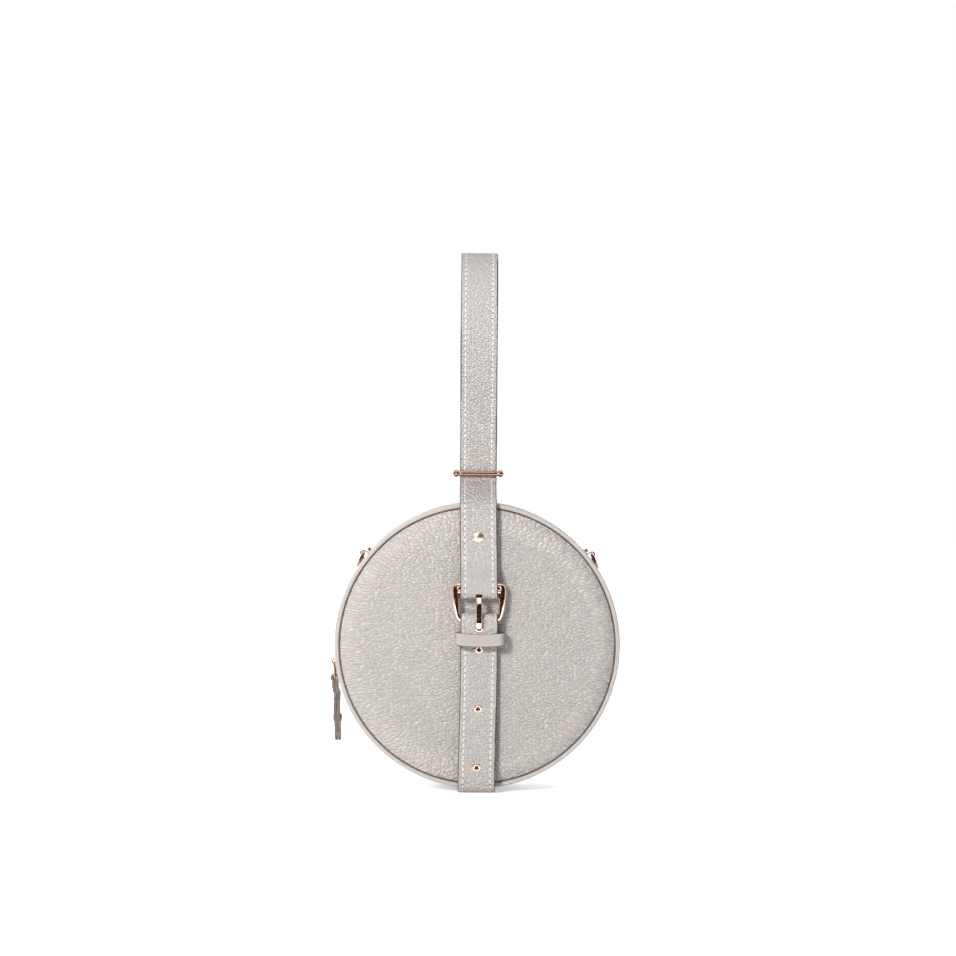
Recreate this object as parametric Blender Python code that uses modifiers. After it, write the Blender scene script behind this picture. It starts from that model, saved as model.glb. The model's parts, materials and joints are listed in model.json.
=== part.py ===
"""Round leather handbag: a drum of two panels and a zipped gusset, one flat strap that runs
round it from side to side and is pinched above it into a handle, and a strap buckle in front.

Metres, +Z up. The front looks along -Y and +X is its right-hand side. The origin is the middle
of the strap's underside, where the bag stands. "Forward" is a distance from the bag's middle
plane towards the front, so forward f is y = -f. Angles round the drum are degrees seen from the
front, 0 at its right-hand side and 90 at its top.
"""
import math

import bmesh
import bpy
from mathutils import Matrix, Vector

# Running gaps
seat_gap = 0.0003            # between pieces that lie against each other
bore_gap = 0.0003            # round a pin in its bore
curve_weld = 0.000001        # points of a filled curve closer than this are one
turn_weld = 0.00001          # and of a turned profile

# Drum
body_radius = 0.096          # outer edge of the piping
piping_radius = 0.0016
piping_forward = 0.0226      # middle of the piping from the bag's middle plane
ring_steps = 60
welt_height = 0.0010
welt_reach = 0.0009          # how far the welt stands out past the piping's middle
panel_forward = 0.0290       # middle of the front panel's face
panel_thickness = 0.0025
shoulder_width = 0.0082      # rounded edge of a panel, measured along its radius
shoulder_drop = 0.0053
panel_crown = 0.0012
lining_thickness = 0.0008
gusset_sink = 0.0018         # the gusset's edges lie this far below the piping's edge
gusset_thickness = 0.0022
gusset_crown = 0.0016        # it bulges out by this between its edges
gusset_zip_rise = 0.0014     # and stands this far out beside the zip
gusset_crown_shares = ((1.0, 0.0), (0.82, 0.70), (0.53, 1.0))   # of its half depth, of its crown

# Zip
zip_left_angle = 191.0       # closed end, low on the left
zip_right_angle = -11.0
zip_opening_half = 0.0046    # half the gap between the gusset's two strips
tape_inner_edge = 0.0010
tape_outer_edge = 0.0120
tape_thickness = 0.0007
tooth_height = 0.0020
tooth_length = 0.0026
tooth_slit_half = 0.0005
tooth_pitch = 0.0050
tooth_spine = 0.0007         # ledge that joins one row's teeth along the tape

# Zip slider and its pull
slider_rest_angle = 188.0
slider_end_angle = -8.0
slider_half_length = 0.0042
slider_half_width = 0.0048
slider_plate = 0.0012
slider_neck_half = 0.0003
bridge_rise = 0.0030
bridge_half_span = 0.0026
bridge_thickness = 0.0009
bridge_half_width = 0.0012
link_wire = 0.0007           # radius
link_length = 0.0105
link_half_width = 0.0058      # middle of its side wires
link_lean = 7.0              # degrees inwards from hanging plumb
tab_length = 0.0425          # from the eye's middle to the lower end
tab_half_width = 0.0048
tab_leaf = 0.0019            # thickness of one of the tab's two leaves
tab_rivet_radius = 0.0034
tab_rivet_drop = 0.0274      # below the eye
tab_rivet_head = 0.0010
tab_rivet_dome_share = 0.7
tab_rivet_height_shares = (0.8, 0.3)
tab_rivet_shaft = 0.0012

# Straps
strap_width = 0.025
strap_thickness = 0.0023
pinch_gap_half = 0.0002      # half the gap between the two legs where they are pinched
pinch_rise = 0.0194          # sliding loop above the top of the drum
pinch_drop = 0.0053          # the legs part this far below the sliding loop
pinch_bend = 0.0055          # bend radii of the strap's middle
rim_bend = 0.0100
rim_reach = 0.0056           # corner of the strap over the rim, from the piping's middle
rim_rise = 0.0008
face_bend = 0.0100
ease_bend = 0.0080
ease_drop = 0.0105           # height over which a layer eases towards the buckle's bars
frame_clearance = 0.00125    # the eased layer is straight again this far above the frame
front_bottom_bend = 0.0095
rear_bottom_bend = 0.0080
fold_bore = 0.0020           # inner radius where the strap folds over a bar
fold_steps = 8
bend_steps = 5

# Handle
handle_half_depth = 0.0290
handle_length = 0.1503       # top of the handle above the sliding loop
handle_widest_share = 0.70   # height of the widest place between pinch and top
handle_lower_shares = (0.45, 0.60)   # pull of the curve at the pinch and at the widest place
handle_upper_share = 0.56            # and at the widest place and the top
handle_steps = 9

# Sliding loop that pinches the strap under the handle
loop_wire = 0.0016
loop_neck_wire = 0.00125
loop_end_wire = 0.0021
loop_half_width = 0.0171     # outer edge of its ends

# Buckle
bar_radius = 0.0015
pivot_rise_share = 0.3833    # pivot bar above the drum's middle, of the drum's radius
frame_above_pivot = 0.0058   # frame's top edge above the pivot bar's middle
frame_tall = 0.0263
frame_half_width = 0.0177
frame_inner_half = 0.0128
frame_edge_round = 0.0010
frame_outline_shares = ((0.72, 0), (0.90, 0.03), (0.975, 0.09), (1, 0.20), (0.995, 0.36),
                        (0.955, 0.56), (0.90, 0.74), (0.82, 0.88), (0.74, 0.96), (0.62, 1))
prong_width = 0.0038
prong_thickness = 0.0018
prong_ring_wall = 0.0010
prong_elbow_drop = 0.0085    # below the pivot bar's middle
prong_bend_drop = 0.0006     # below the frame's bottom edge
prong_tip_drop = 0.0041
slot_half_width = 0.0023
slot_front_drop = 0.0004     # front end of the fold's slot below the pivot bar's middle

# Keeper loop
keeper_height = 0.0086
keeper_drop = 0.0110         # its middle below the frame's bottom edge
keeper_half_width = 0.0162
keeper_end_wall = 0.0021
keeper_wall = 0.0014

# Strap details
turned_end_drop = 0.0138     # top of the upper strap's turned-back layer below the rim's corner
free_end_drop = 0.0163       # the long strap's end below the frame's bottom edge
eyelet_radius = 0.0027       # outside of the flange
eyelet_bore = 0.0014
eyelet_flange = 0.0005
eyelet_back_flange = 0.0002
eyelet_barrel_wall = 0.0005
eyelet_seat = 0.0001
eyelet_steps = 12
eyelet_front_drop = 0.0038   # eyelet that the prong holds, below the frame's bottom edge
eyelet_drop_shares = (0.0198, 0.4323, 0.8417)   # the others below the drum's middle
rivet_inset = 0.0084         # below the turned-back layer's end
rivet_head_radius = 0.0033
rivet_head = 0.0012
rivet_shaft = 0.0014
rivet_shoulder_share = 0.68

# Rings at the back of the gusset
ring_left_angle = 142.5
ring_right_angle = 37.5
ring_back = 0.0136           # middle of the ring, behind the middle plane
ring_pivot_rise = 0.0032     # its bar's middle above the gusset
saddle_width = 0.0060
saddle_thickness = 0.0009
saddle_foot = 0.0046
ring_wire = 0.0011           # radius
ring_half_width = 0.0049     # middle of its side wires
ring_drop = 0.0095
stud_radius = 0.0014
stud_head = 0.0019
stud_shaft = 0.0007
stud_dome_share = 0.7        # of its radius, where its dome begins
stud_waist_share = 0.8       # and at its foot

# Derived radii of the drum, from outside to inside
piping_ring = body_radius - piping_radius
welt_outer = piping_ring - piping_radius - seat_gap
panel_radius = welt_outer - welt_height - seat_gap
gusset_edge = body_radius - gusset_sink
gusset_half = piping_forward - piping_radius - seat_gap
gusset_top = gusset_edge + gusset_crown
gusset_at_zip = gusset_edge + gusset_zip_rise
tape_outer = gusset_at_zip - gusset_thickness - seat_gap
tape_inner = tape_outer - tape_thickness
lining_outer = gusset_edge - gusset_thickness - seat_gap
disc_centre = strap_thickness + seat_gap + body_radius

# Derived places of the strap's layers in front, as forward distances of their middles
half_strap = strap_thickness / 2
layer_step = strap_thickness + seat_gap
fold_radius = fold_bore + half_strap
leg_middle = pinch_gap_half + half_strap
turned_middle = panel_forward + seat_gap + half_strap
upper_middle = turned_middle + layer_step
frame_forward = turned_middle + fold_bore + fold_radius
front_layer = frame_forward + fold_radius
rear_layer = frame_forward - fold_radius
prong_ring_radius = bar_radius + bore_gap + prong_ring_wall
upper_front_layer = frame_forward + prong_ring_radius + seat_gap + half_strap
pivot_height = disc_centre + pivot_rise_share * body_radius
frame_top = pivot_height + frame_above_pivot
frame_bottom = frame_top - frame_tall
lower_bar_height = frame_bottom + bar_radius
slot_front_top = pivot_height - slot_front_drop
loop_height = disc_centre + body_radius + pinch_rise
handle_top = loop_height + handle_length
rim_height = disc_centre + piping_ring + rim_rise
rim_forward = piping_forward + rim_reach
turned_end_height = rim_height - turned_end_drop
free_end_height = frame_bottom - free_end_drop
keeper_centre = frame_bottom - keeper_drop
fold_pivot_height = loop_height + loop_wire + 2 * seat_gap + leg_middle + half_strap
stub_top = fold_pivot_height - leg_middle - half_strap - seat_gap

# Clear the opened file, then make one collection for the pieces and one for the cutters
for old in list(bpy.data.objects):
    bpy.data.objects.remove(old, do_unlink=True)
part_collection = bpy.data.collections.new("leather_handbag")
cutter_collection = bpy.data.collections.new("cutters")
bpy.context.scene.collection.children.link(part_collection)
bpy.context.scene.collection.children.link(cutter_collection)


def make_material(name, colour, roughness, metallic):
    material = bpy.data.materials.new(name)
    material.use_nodes = True
    shader = material.node_tree.nodes["Principled BSDF"]
    shader.inputs["Base Color"].default_value = (*colour, 1.0)
    shader.inputs["Roughness"].default_value = roughness
    shader.inputs["Metallic"].default_value = metallic
    return material


leather = make_material("pale_leather", (0.59, 0.54, 0.51), 0.55, 0.0)
edge_paint = make_material("dark_edge", (0.11, 0.09, 0.08), 0.5, 0.0)
lining_cloth = make_material("lining", (0.45, 0.41, 0.37), 0.8, 0.0)
rose_gold = make_material("rose_gold", (0.83, 0.55, 0.42), 0.2, 1.0)
tape_cloth = make_material("zip_tape", (0.42, 0.38, 0.35), 0.85, 0.0)


def add_part(name, mesh, material, location=(0, 0, 0), rotation=(0, 0, 0), cutter=False):
    """Make one named object of a mesh and put it in its collection."""
    part = bpy.data.objects.new(name, mesh)
    part.location = location
    part.rotation_euler = rotation
    if cutter:
        part.hide_render = True
        part.display_type = "WIRE"
        cutter_collection.objects.link(part)
    else:
        mesh.materials.append(material)
        part_collection.objects.link(part)
    return part


def finish_mesh(bm, name, sharp_angle=35.0):
    """Close a bmesh into a mesh with outward faces and smooth rounds."""
    bmesh.ops.recalc_face_normals(bm, faces=bm.faces)
    mesh = bpy.data.meshes.new(name)
    bm.to_mesh(mesh)
    bm.free()
    mesh.shade_smooth()
    mesh.set_sharp_from_angle(angle=math.radians(sharp_angle))
    return mesh


def cut(part, cutter, operation="DIFFERENCE"):
    """Cut or join one part with another by an exact Boolean."""
    modifier = part.modifiers.new(operation.lower(), "BOOLEAN")
    modifier.operation = operation
    modifier.solver = "EXACT"
    modifier.object = cutter


FRONT = (math.pi / 2, 0, 0)      # turns a drum piece's local +Z to the front
REAR = (-math.pi / 2, 0, 0)      # and this to the rear
AT_DRUM = (0, 0, disc_centre)


def turned(name, profile, material, rotation, place=AT_DRUM, steps=ring_steps, cutter=False):
    """Full turn of a (radius, forward) profile about a front-to-back axis."""
    mesh = bpy.data.meshes.new(name)
    count = len(profile)
    points = [(r, 0, f) for r, f in profile]
    on_axis = profile[0][0] == 0
    edges = [(i, i + 1) for i in range(count - 1)]
    if not on_axis:
        edges.append((count - 1, 0))
    mesh.from_pydata(points, edges, [])
    part = add_part(name, mesh, material, place, rotation, cutter)
    screw = part.modifiers.new("turn", "SCREW")
    screw.axis = "Z"
    screw.angle = 2 * math.pi
    screw.steps = steps
    screw.render_steps = steps
    screw.use_merge_vertices = True
    screw.merge_threshold = turn_weld
    screw.use_smooth_shade = True
    return part


def spin_profile(bm, profile, angles):
    """Sweep a closed (radius, forward) profile about the drum's axis between two angles."""
    start, end = (math.radians(angle) for angle in angles)
    steps = max(1, round((end - start) * ring_steps / (2 * math.pi)))
    verts = [bm.verts.new((r * math.cos(start), r * math.sin(start), f)) for r, f in profile]
    face = bm.faces.new(verts)
    bmesh.ops.spin(bm, geom=[face, *face.edges, *verts], cent=(0, 0, 0), axis=(0, 0, 1),
                   angle=end - start, steps=steps, use_duplicate=False)


def rectangle(radii, forwards):
    return [(radii[0], forwards[0]), (radii[1], forwards[0]),
            (radii[1], forwards[1]), (radii[0], forwards[1])]


def arc_part(name, profile, angles, material, cutter=False):
    """One piece that follows the drum's edge from one angle to the other."""
    bm = bmesh.new()
    spin_profile(bm, profile, angles)
    return add_part(name, finish_mesh(bm, name), material, AT_DRUM, FRONT, cutter)


def rounded_path(corners):
    """Polyline of (forward, height, bend radius) corners, each bend drawn as an arc."""
    points = [Vector(corners[0][:2])]
    for before, here, after in zip(corners, corners[1:], corners[2:]):
        corner = Vector(here[:2])
        back = (Vector(before[:2]) - corner).normalized()
        ahead = (Vector(after[:2]) - corner).normalized()
        half_turn = (math.pi - back.angle(ahead)) / 2
        reach = here[2] * math.tan(half_turn)
        side = (back + ahead).normalized() * here[2] / math.cos(half_turn)
        centre = corner + side
        first = corner + back * reach - centre
        turn = 2 * half_turn
        if back.y * ahead.x < back.x * ahead.y:
            turn = -turn
        for step in range(bend_steps + 1):
            angle = turn * step / bend_steps
            points.append(centre + Matrix.Rotation(angle, 2) @ first)
    points.append(Vector(corners[-1][:2]))
    return points


def arc_points(centre, radius, start, end, steps):
    """Points on an arc in the side view; angles in degrees, 0 forward and 90 up."""
    points = []
    for step in range(steps + 1):
        angle = math.radians(start + (end - start) * step / steps)
        points.append(Vector((centre[0] + radius * math.cos(angle),
                              centre[1] + radius * math.sin(angle))))
    return points


def offset_path(points, distance):
    """The path moved sideways, to its left, with mitred corners."""
    moved = []
    for i, point in enumerate(points):
        into = (point - points[max(i - 1, 0)])
        out = (points[min(i + 1, len(points) - 1)] - point)
        if into.length == 0:
            into = out
        if out.length == 0:
            out = into
        into.normalize()
        out.normalize()
        across = (into + out).normalized()
        normal = Vector((-across.y, across.x))
        moved.append(point + normal * distance / across.dot(into))
    return moved


SIDE_VIEW = Matrix(((0, 0, 1, 0), (-1, 0, 0, 0), (0, 1, 0, 0), (0, 0, 0, 1)))
FRONT_VIEW = Matrix(((1, 0, 0, 0), (0, 0, -1, 0), (0, 1, 0, 0), (0, 0, 0, 1)))


def curve_to_part(name, curve, material, matrix, cutter=False):
    """Turn a curve into a welded mesh part with its place in the mesh."""
    holder = bpy.data.objects.new(name + "_curve", curve)
    part_collection.objects.link(holder)
    bpy.context.view_layer.update()
    evaluated = holder.evaluated_get(bpy.context.evaluated_depsgraph_get())
    bm = bmesh.new()
    bm.from_mesh(bpy.data.meshes.new_from_object(evaluated))
    bpy.data.objects.remove(holder, do_unlink=True)
    bmesh.ops.remove_doubles(bm, verts=bm.verts, dist=curve_weld)
    bmesh.ops.transform(bm, matrix=matrix, verts=bm.verts)
    return add_part(name, finish_mesh(bm, name), material, cutter=cutter)


def plate(name, outlines, half_depth, material, view=SIDE_VIEW, edge_round=0, cutter=False):
    """Closed outlines, filled and given a depth: (forward, height) seen from the side, which
    reach half_depth to each side along X, or (x, height) seen from the front."""
    curve = bpy.data.curves.new(name, "CURVE")
    curve.dimensions = "2D"
    curve.fill_mode = "BOTH"
    curve.extrude = half_depth - edge_round
    curve.bevel_depth = edge_round
    curve.bevel_resolution = 1
    curve.offset = -edge_round
    for outline in outlines:
        spline = curve.splines.new("POLY")
        spline.points.add(len(outline) - 1)
        for point, place in zip(spline.points, outline):
            point.co = (place[0], place[1], 0, 1)
        spline.use_cyclic_u = True
    return curve_to_part(name, curve, material, view, cutter)


def wire_loop(name, points, radius, shares, material, matrix):
    """Closed round wire through points; shares give its thickness at each point."""
    curve = bpy.data.curves.new(name, "CURVE")
    curve.dimensions = "3D"
    curve.bevel_depth = radius
    curve.bevel_resolution = 2
    spline = curve.splines.new("POLY")
    spline.points.add(len(points) - 1)
    for point, place, share in zip(spline.points, points, shares):
        point.co = (*place, 1)
        point.radius = share
    spline.use_cyclic_u = True
    return curve_to_part(name, curve, material, matrix)


def rod(name, centre, direction, radius, length, material, cutter=False, sides=14):
    """Round bar about its centre."""
    turn = Vector(direction).to_track_quat("Z", "Y").to_matrix().to_4x4()
    bm = bmesh.new()
    bmesh.ops.create_cone(bm, cap_ends=True, segments=sides, radius1=radius, radius2=radius,
                          depth=length, matrix=Matrix.Translation(centre) @ turn)
    return add_part(name, finish_mesh(bm, name), material, cutter=cutter)


def hang_on(name, place, parts):
    """Empty on a joint's axis that carries the pieces which move about it."""
    empty = bpy.data.objects.new(name, None)
    empty.location = place
    part_collection.objects.link(empty)
    back = Matrix.Translation(place).inverted()
    for part in parts:
        part.parent = empty
        part.matrix_parent_inverse = back
    return empty


# Drum: two shallow leather dishes, each with a piped edge and a dark welt beside the piping

def dish_side(inset, steps):
    """Half of a panel's side view at an inset from its face, from the axis to the rim."""
    flat_radius = panel_radius - shoulder_width
    rim_forward = panel_forward - panel_crown - shoulder_drop
    points = [(0, panel_forward - inset)]
    for step in range(steps + 1):
        angle = math.radians(90 * step / steps)
        points.append((flat_radius + (shoulder_width - inset) * math.sin(angle),
                       rim_forward + (shoulder_drop - inset) * math.cos(angle)))
    return points


def circle_profile(radius, middle, steps):
    """Round (radius, forward) profile, running down its outer side."""
    profile = []
    for step in range(steps):
        angle = math.pi / 2 - 2 * math.pi * step / steps
        profile.append((middle[0] + radius * math.cos(angle), middle[1] + radius * math.sin(angle)))
    return profile


def build_drum_side(side, rotation):
    """Panel, lining, piping and welt of one side of the drum."""
    panel = dish_side(0, 3) + dish_side(panel_thickness, 2)[::-1]
    turned(side + "_panel", panel, leather, rotation)
    lining_inset = panel_thickness + seat_gap
    lining = dish_side(lining_inset, 2) + dish_side(lining_inset + lining_thickness, 2)[::-1]
    turned(side + "_lining", lining, lining_cloth, rotation)
    turned(side + "_piping", circle_profile(piping_radius, (piping_ring, piping_forward), 7),
           leather, rotation)
    welt_low = gusset_half + seat_gap
    welt_high = piping_forward + welt_reach
    welt = [(welt_outer, welt_high), (welt_outer, welt_low),
            (welt_outer - welt_height, welt_low), (welt_outer - welt_height, welt_high)]
    turned(side + "_welt", welt, edge_paint, rotation)


build_drum_side("front", FRONT)
build_drum_side("rear", REAR)


# Gusset: a whole strip under the bag and two strips beside the zip, lined inside

def gusset_line(inset):
    """Crowned outer line of the gusset from its middle to its front edge."""
    return [(gusset_edge + gusset_crown * rise - inset, gusset_half * share)
            for share, rise in gusset_crown_shares[::-1]]


def build_gussets():
    join_gap = math.degrees(seat_gap / gusset_edge)
    outside = gusset_line(0)
    inside = gusset_line(gusset_thickness)
    lower = [(r, -f) for r, f in outside[::-1]] + outside
    lower += inside[::-1] + [(r, -f) for r, f in inside]
    arc_part("lower_gusset", lower, (zip_left_angle + join_gap, 360 + zip_right_angle - join_gap),
             leather)
    beside = gusset_at_zip
    for side, sign in (("front", 1), ("rear", -1)):
        strip = [(beside, sign * zip_opening_half)] + [(r, sign * f) for r, f in outside]
        strip += [(r, sign * f) for r, f in inside[::-1]]
        strip.append((beside - gusset_thickness, sign * zip_opening_half))
        arc_part("zip_gusset_" + side, strip, (zip_right_angle, zip_left_angle), leather)
    ring = [(lining_outer, gusset_half), (lining_outer, -gusset_half),
            (lining_outer - lining_thickness, -gusset_half),
            (lining_outer - lining_thickness, gusset_half)]
    lining = turned("gusset_lining", ring, lining_cloth, FRONT)
    slot_half = slider_half_width + seat_gap
    slot = rectangle((lining_outer - 2 * lining_thickness, lining_outer + lining_thickness),
                     (-slot_half, slot_half))
    spare = math.degrees((slider_half_length + seat_gap) / (lining_outer - lining_thickness))
    ends = (slider_end_angle - spare, slider_rest_angle + spare)
    mouth = arc_part("lining_mouth_cut", slot, ends, leather, True)
    cut(lining, mouth)


build_gussets()


# Zip: two tapes, and two rows of teeth with a slit for the slider's neck

def build_zip():
    inner = tape_outer + seat_gap
    tooth_reach = zip_opening_half - seat_gap
    step = math.degrees(tooth_pitch / inner)
    half_tooth = math.degrees(tooth_length / inner) / 2
    for side, sign, shift in (("front", 1, 0.25), ("rear", -1, 0.75)):
        tape = rectangle((tape_inner, tape_outer), (sign * tape_inner_edge, sign * tape_outer_edge))
        arc_part("zip_tape_" + side, tape, (zip_right_angle, zip_left_angle), tape_cloth)
        spine_edge = (tooth_slit_half + tooth_reach) / 2
        spine = rectangle((inner, inner + tooth_spine), (sign * spine_edge, sign * tooth_reach))
        row = arc_part("zip_teeth_" + side, spine, (zip_right_angle, zip_left_angle), rose_gold)
        low = inner + tooth_spine / 2
        tooth_end = (spine_edge + 2 * tooth_reach) / 3
        tooth = rectangle((low, inner + tooth_height), (sign * tooth_slit_half, sign * tooth_end))
        bm = bmesh.new()
        count = int((zip_left_angle - zip_right_angle) / step)
        for index in range(count):
            middle = zip_right_angle + step * (index + shift)
            spin_profile(bm, tooth, (middle - half_tooth, middle + half_tooth))
        name = "teeth_join_" + side
        teeth = add_part(name, finish_mesh(bm, name), rose_gold, AT_DRUM, FRONT, True)
        cut(row, teeth, "UNION")


build_zip()


# Straps: one flat strip folded and pinched. Its path is the middle of its thickness in side view

def strip(name, points, material=leather):
    """Flat strap of the full width along a side-view path."""
    outline = offset_path(points, half_strap) + offset_path(points, -half_strap)[::-1]
    return plate(name, [outline], strap_width / 2, material)


parting_height = loop_height - pinch_drop
bar_top_clear = frame_top + frame_clearance


def build_upper_strap():
    """From the pinch over the rim and down to the buckle's pivot bar, round it and up again."""
    ease_top = bar_top_clear + ease_drop
    down = rounded_path([
        (leg_middle, stub_top, 0), (leg_middle, parting_height, pinch_bend),
        (rim_forward, rim_height, rim_bend),
        (upper_middle, turned_end_height + layer_step, face_bend),
        (upper_middle, ease_top, ease_bend), (upper_front_layer, bar_top_clear, ease_bend),
        (upper_front_layer, pivot_height, 0)])
    fold_middle = ((upper_front_layer + rear_layer) / 2, pivot_height)
    fold = arc_points(fold_middle, (upper_front_layer - rear_layer) / 2, 0, -180, fold_steps)
    up = rounded_path([
        (rear_layer, pivot_height, 0), (rear_layer, bar_top_clear, ease_bend),
        (turned_middle, ease_top, ease_bend), (turned_middle, turned_end_height, 0)])
    strap = strip("upper_strap", down + fold[1:-1] + up)
    below = pivot_height - 2 * fold_radius - strap_thickness
    above = pivot_height + prong_ring_radius + 2 * bore_gap
    inside = frame_forward + prong_ring_radius
    behind = rear_layer - strap_thickness
    before = upper_front_layer + strap_thickness
    slot = [(behind, below), (before, below), (before, slot_front_top), (inside, slot_front_top),
            (inside, above), (behind, above)]
    cut(strap, plate("prong_slot_cut", [slot], slot_half_width, leather, cutter=True))
    return strap


def build_long_strap():
    """From the pinch down the back, under the bag, up the front and over the buckle's lower bar."""
    down = rounded_path([
        (-leg_middle, stub_top, 0), (-leg_middle, parting_height, pinch_bend),
        (-rim_forward, rim_height, rim_bend),
        (-turned_middle, disc_centre + panel_radius - shoulder_width, face_bend),
        (-turned_middle, half_strap, rear_bottom_bend),
        (rear_layer, half_strap, front_bottom_bend), (rear_layer, lower_bar_height, 0)])
    fold = arc_points((frame_forward, lower_bar_height), fold_radius, 180, 0, fold_steps)
    return strip("long_strap", down + fold[1:] + [Vector((front_layer, free_end_height))])


def bezier_points(corners, steps):
    """Points on a cubic curve through four control places, without the first."""
    points = []
    for step in range(1, steps + 1):
        t = step / steps
        u = 1 - t
        shares = (u * u * u, 3 * u * u * t, 3 * u * t * t, t * t * t)
        points.append(sum((Vector(c) * share for c, share in zip(corners, shares)), Vector((0, 0))))
    return points


def build_handle():
    """Teardrop loop of the same strap; its two ends are rounded about the line it folds on."""
    top = handle_top - half_strap
    out = handle_half_depth - half_strap
    start = Vector((leg_middle, fold_pivot_height))
    widest = fold_pivot_height + handle_widest_share * (top - fold_pivot_height)
    lift = widest - fold_pivot_height
    rise = top - widest
    points = [start] + bezier_points(
        [start, (leg_middle, fold_pivot_height + handle_lower_shares[0] * lift),
         (out, fold_pivot_height + handle_lower_shares[1] * lift), (out, widest)], handle_steps)
    points += bezier_points(
        [(out, widest), (out, widest + handle_upper_share * rise),
         (handle_upper_share * out, top), (0, top)], handle_steps)
    points += [Vector((-p.x, p.y)) for p in points[-2::-1]]
    end_radius = leg_middle + half_strap
    tilt = math.degrees(math.asin(pinch_gap_half / end_radius))
    rear_end = arc_points((0, fold_pivot_height), end_radius, 180, 270 - tilt, bend_steps)
    front_end = arc_points((0, fold_pivot_height), end_radius, 270 + tilt, 360, bend_steps)
    outline = offset_path(points, -half_strap) + rear_end[1:]
    outline += offset_path(points, half_strap)[::-1] + front_end[:-1]
    handle = plate("handle_strap", [outline], strap_width / 2, leather)
    hang_on("handle_fold_axis", (0, 0, fold_pivot_height), [handle])


upper_strap = build_upper_strap()
long_strap = build_long_strap()
build_handle()


# Sliding loop: one bent rod round both legs, waisted beside the strap and thick at its ends

def build_handle_loop():
    rod_forward = leg_middle + half_strap + seat_gap + loop_wire
    end_middle = loop_half_width - loop_end_wire
    neck = strap_width / 2 + seat_gap
    neck_share = loop_neck_wire / loop_wire
    end_share = loop_end_wire / loop_wire
    half_end = rod_forward / 2
    corner = (end_middle + neck) / 2
    quarter = [(0, rod_forward, 1), (neck - loop_end_wire, rod_forward, 1),
               (neck, rod_forward, neck_share), (corner, rod_forward - loop_neck_wire / 4, 1),
               (end_middle, rod_forward - loop_neck_wire, end_share),
               (end_middle, half_end, end_share)]
    right = quarter[1:] + [(x, -f, share) for x, f, share in quarter[:0:-1]]
    left = [(-x, -f, share) for x, f, share in right]
    places = [(x, -f, 0) for x, f, share in right + left]
    shares = [share for x, f, share in right + left]
    wire_loop("handle_loop", places, loop_wire, shares, rose_gold,
              Matrix.Translation((0, 0, loop_height)))


build_handle_loop()


# Buckle: a cast frame with a pivot bar across it, and a prong that turns on the bar

def mirrored(half):
    """Closed outline from its right half, given from top to bottom."""
    return half + [(-x, z) for x, z in half[::-1]]


def build_buckle():
    outer = mirrored([(frame_half_width * x, frame_top - frame_tall * z)
                      for x, z in frame_outline_shares])
    bar = 2 * bar_radius
    corner = bar_radius / 2
    right = frame_inner_half
    high = frame_top - bar
    low = frame_bottom + bar
    inner = mirrored([(right - corner, high), (right, high - corner),
                      (right, low + corner), (right - corner, low)])
    frame = plate("buckle_frame", [outer, inner], bar_radius, rose_gold, FRONT_VIEW,
                  frame_edge_round)
    frame.location = (0, -frame_forward, 0)
    bar_length = 2 * (frame_inner_half + bar_radius)
    pivot = rod("pivot_bar_join", (0, -frame_forward, pivot_height), (1, 0, 0), bar_radius,
                bar_length, rose_gold, cutter=True)
    cut(frame, pivot, "UNION")


def build_prong():
    """Ring on the pivot bar and a stem that comes out through the fold's slot and bends back."""
    centre = (frame_forward, pivot_height)
    tip_clear = strap_thickness / 2 + eyelet_seat + eyelet_flange + seat_gap
    tip_forward = front_layer + tip_clear + prong_thickness / 2
    stem_forward = tip_forward + prong_thickness / 2
    stem = [Vector((stem_forward, pivot_height - prong_elbow_drop)),
            Vector((stem_forward, frame_bottom - prong_bend_drop)),
            Vector((tip_forward, frame_bottom - prong_tip_drop))]
    away = math.degrees(math.atan2(-prong_elbow_drop, stem_forward - frame_forward))
    start = arc_points(centre, prong_ring_radius - prong_thickness / 2, away, away, 1)[0]
    path = [start] + rounded_path([(*start, 0), (*stem[0], prong_thickness),
                                   (*stem[1], prong_thickness), (*stem[2], 0)])[1:]
    half = prong_thickness / 2
    spread = math.degrees(math.asin(half / prong_ring_radius))
    ring = arc_points(centre, prong_ring_radius, away + spread, away + 360 - spread, 2 * fold_steps)
    outer = offset_path(path, half)[1:]
    inner = offset_path(path, -half)[1:]
    outline = outer[::-1] + ring + inner
    bore = arc_points(centre, bar_radius + bore_gap, 0, 360, 2 * fold_steps)[:-1]
    prong = plate("buckle_prong", [outline, bore], prong_width / 2, rose_gold)
    hang_on("prong_axis", (0, -frame_forward, pivot_height), [prong])


build_buckle()
build_prong()


# Keeper: a plain leather band round both layers of the lower strap, which slides on it

def rounded_rectangle(half_x, low, high, radius, steps):
    """Outline in plan, x by forward distance, with round corners."""
    outline = []
    for turn, x, f in ((0, half_x - radius, high - radius), (90, radius - half_x, high - radius),
                       (180, radius - half_x, low + radius), (270, half_x - radius, low + radius)):
        for step in range(steps + 1):
            angle = math.radians(turn + 90 * step / steps)
            outline.append((x + radius * math.cos(angle), f + radius * math.sin(angle)))
    return outline


def build_keeper():
    back = panel_forward + seat_gap
    front = front_layer + half_strap + seat_gap + keeper_wall
    outer = rounded_rectangle(keeper_half_width, back, front, (front - back) / 3, 3)
    inner_half = keeper_half_width - keeper_end_wall
    inner = rounded_rectangle(inner_half, back + keeper_wall, front - keeper_wall,
                              (front - back) / 3 - keeper_wall, 3)
    plan = Matrix(((1, 0, 0, 0), (0, -1, 0, 0), (0, 0, 1, keeper_centre), (0, 0, 0, 1)))
    keeper = plate("keeper_loop", [outer, inner], keeper_height / 2, leather, plan)
    hang_on("keeper_slide_axis", (0, -front_layer, keeper_centre), [keeper])


build_keeper()


# Eyelets and the rivet, each in its own hole

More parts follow.
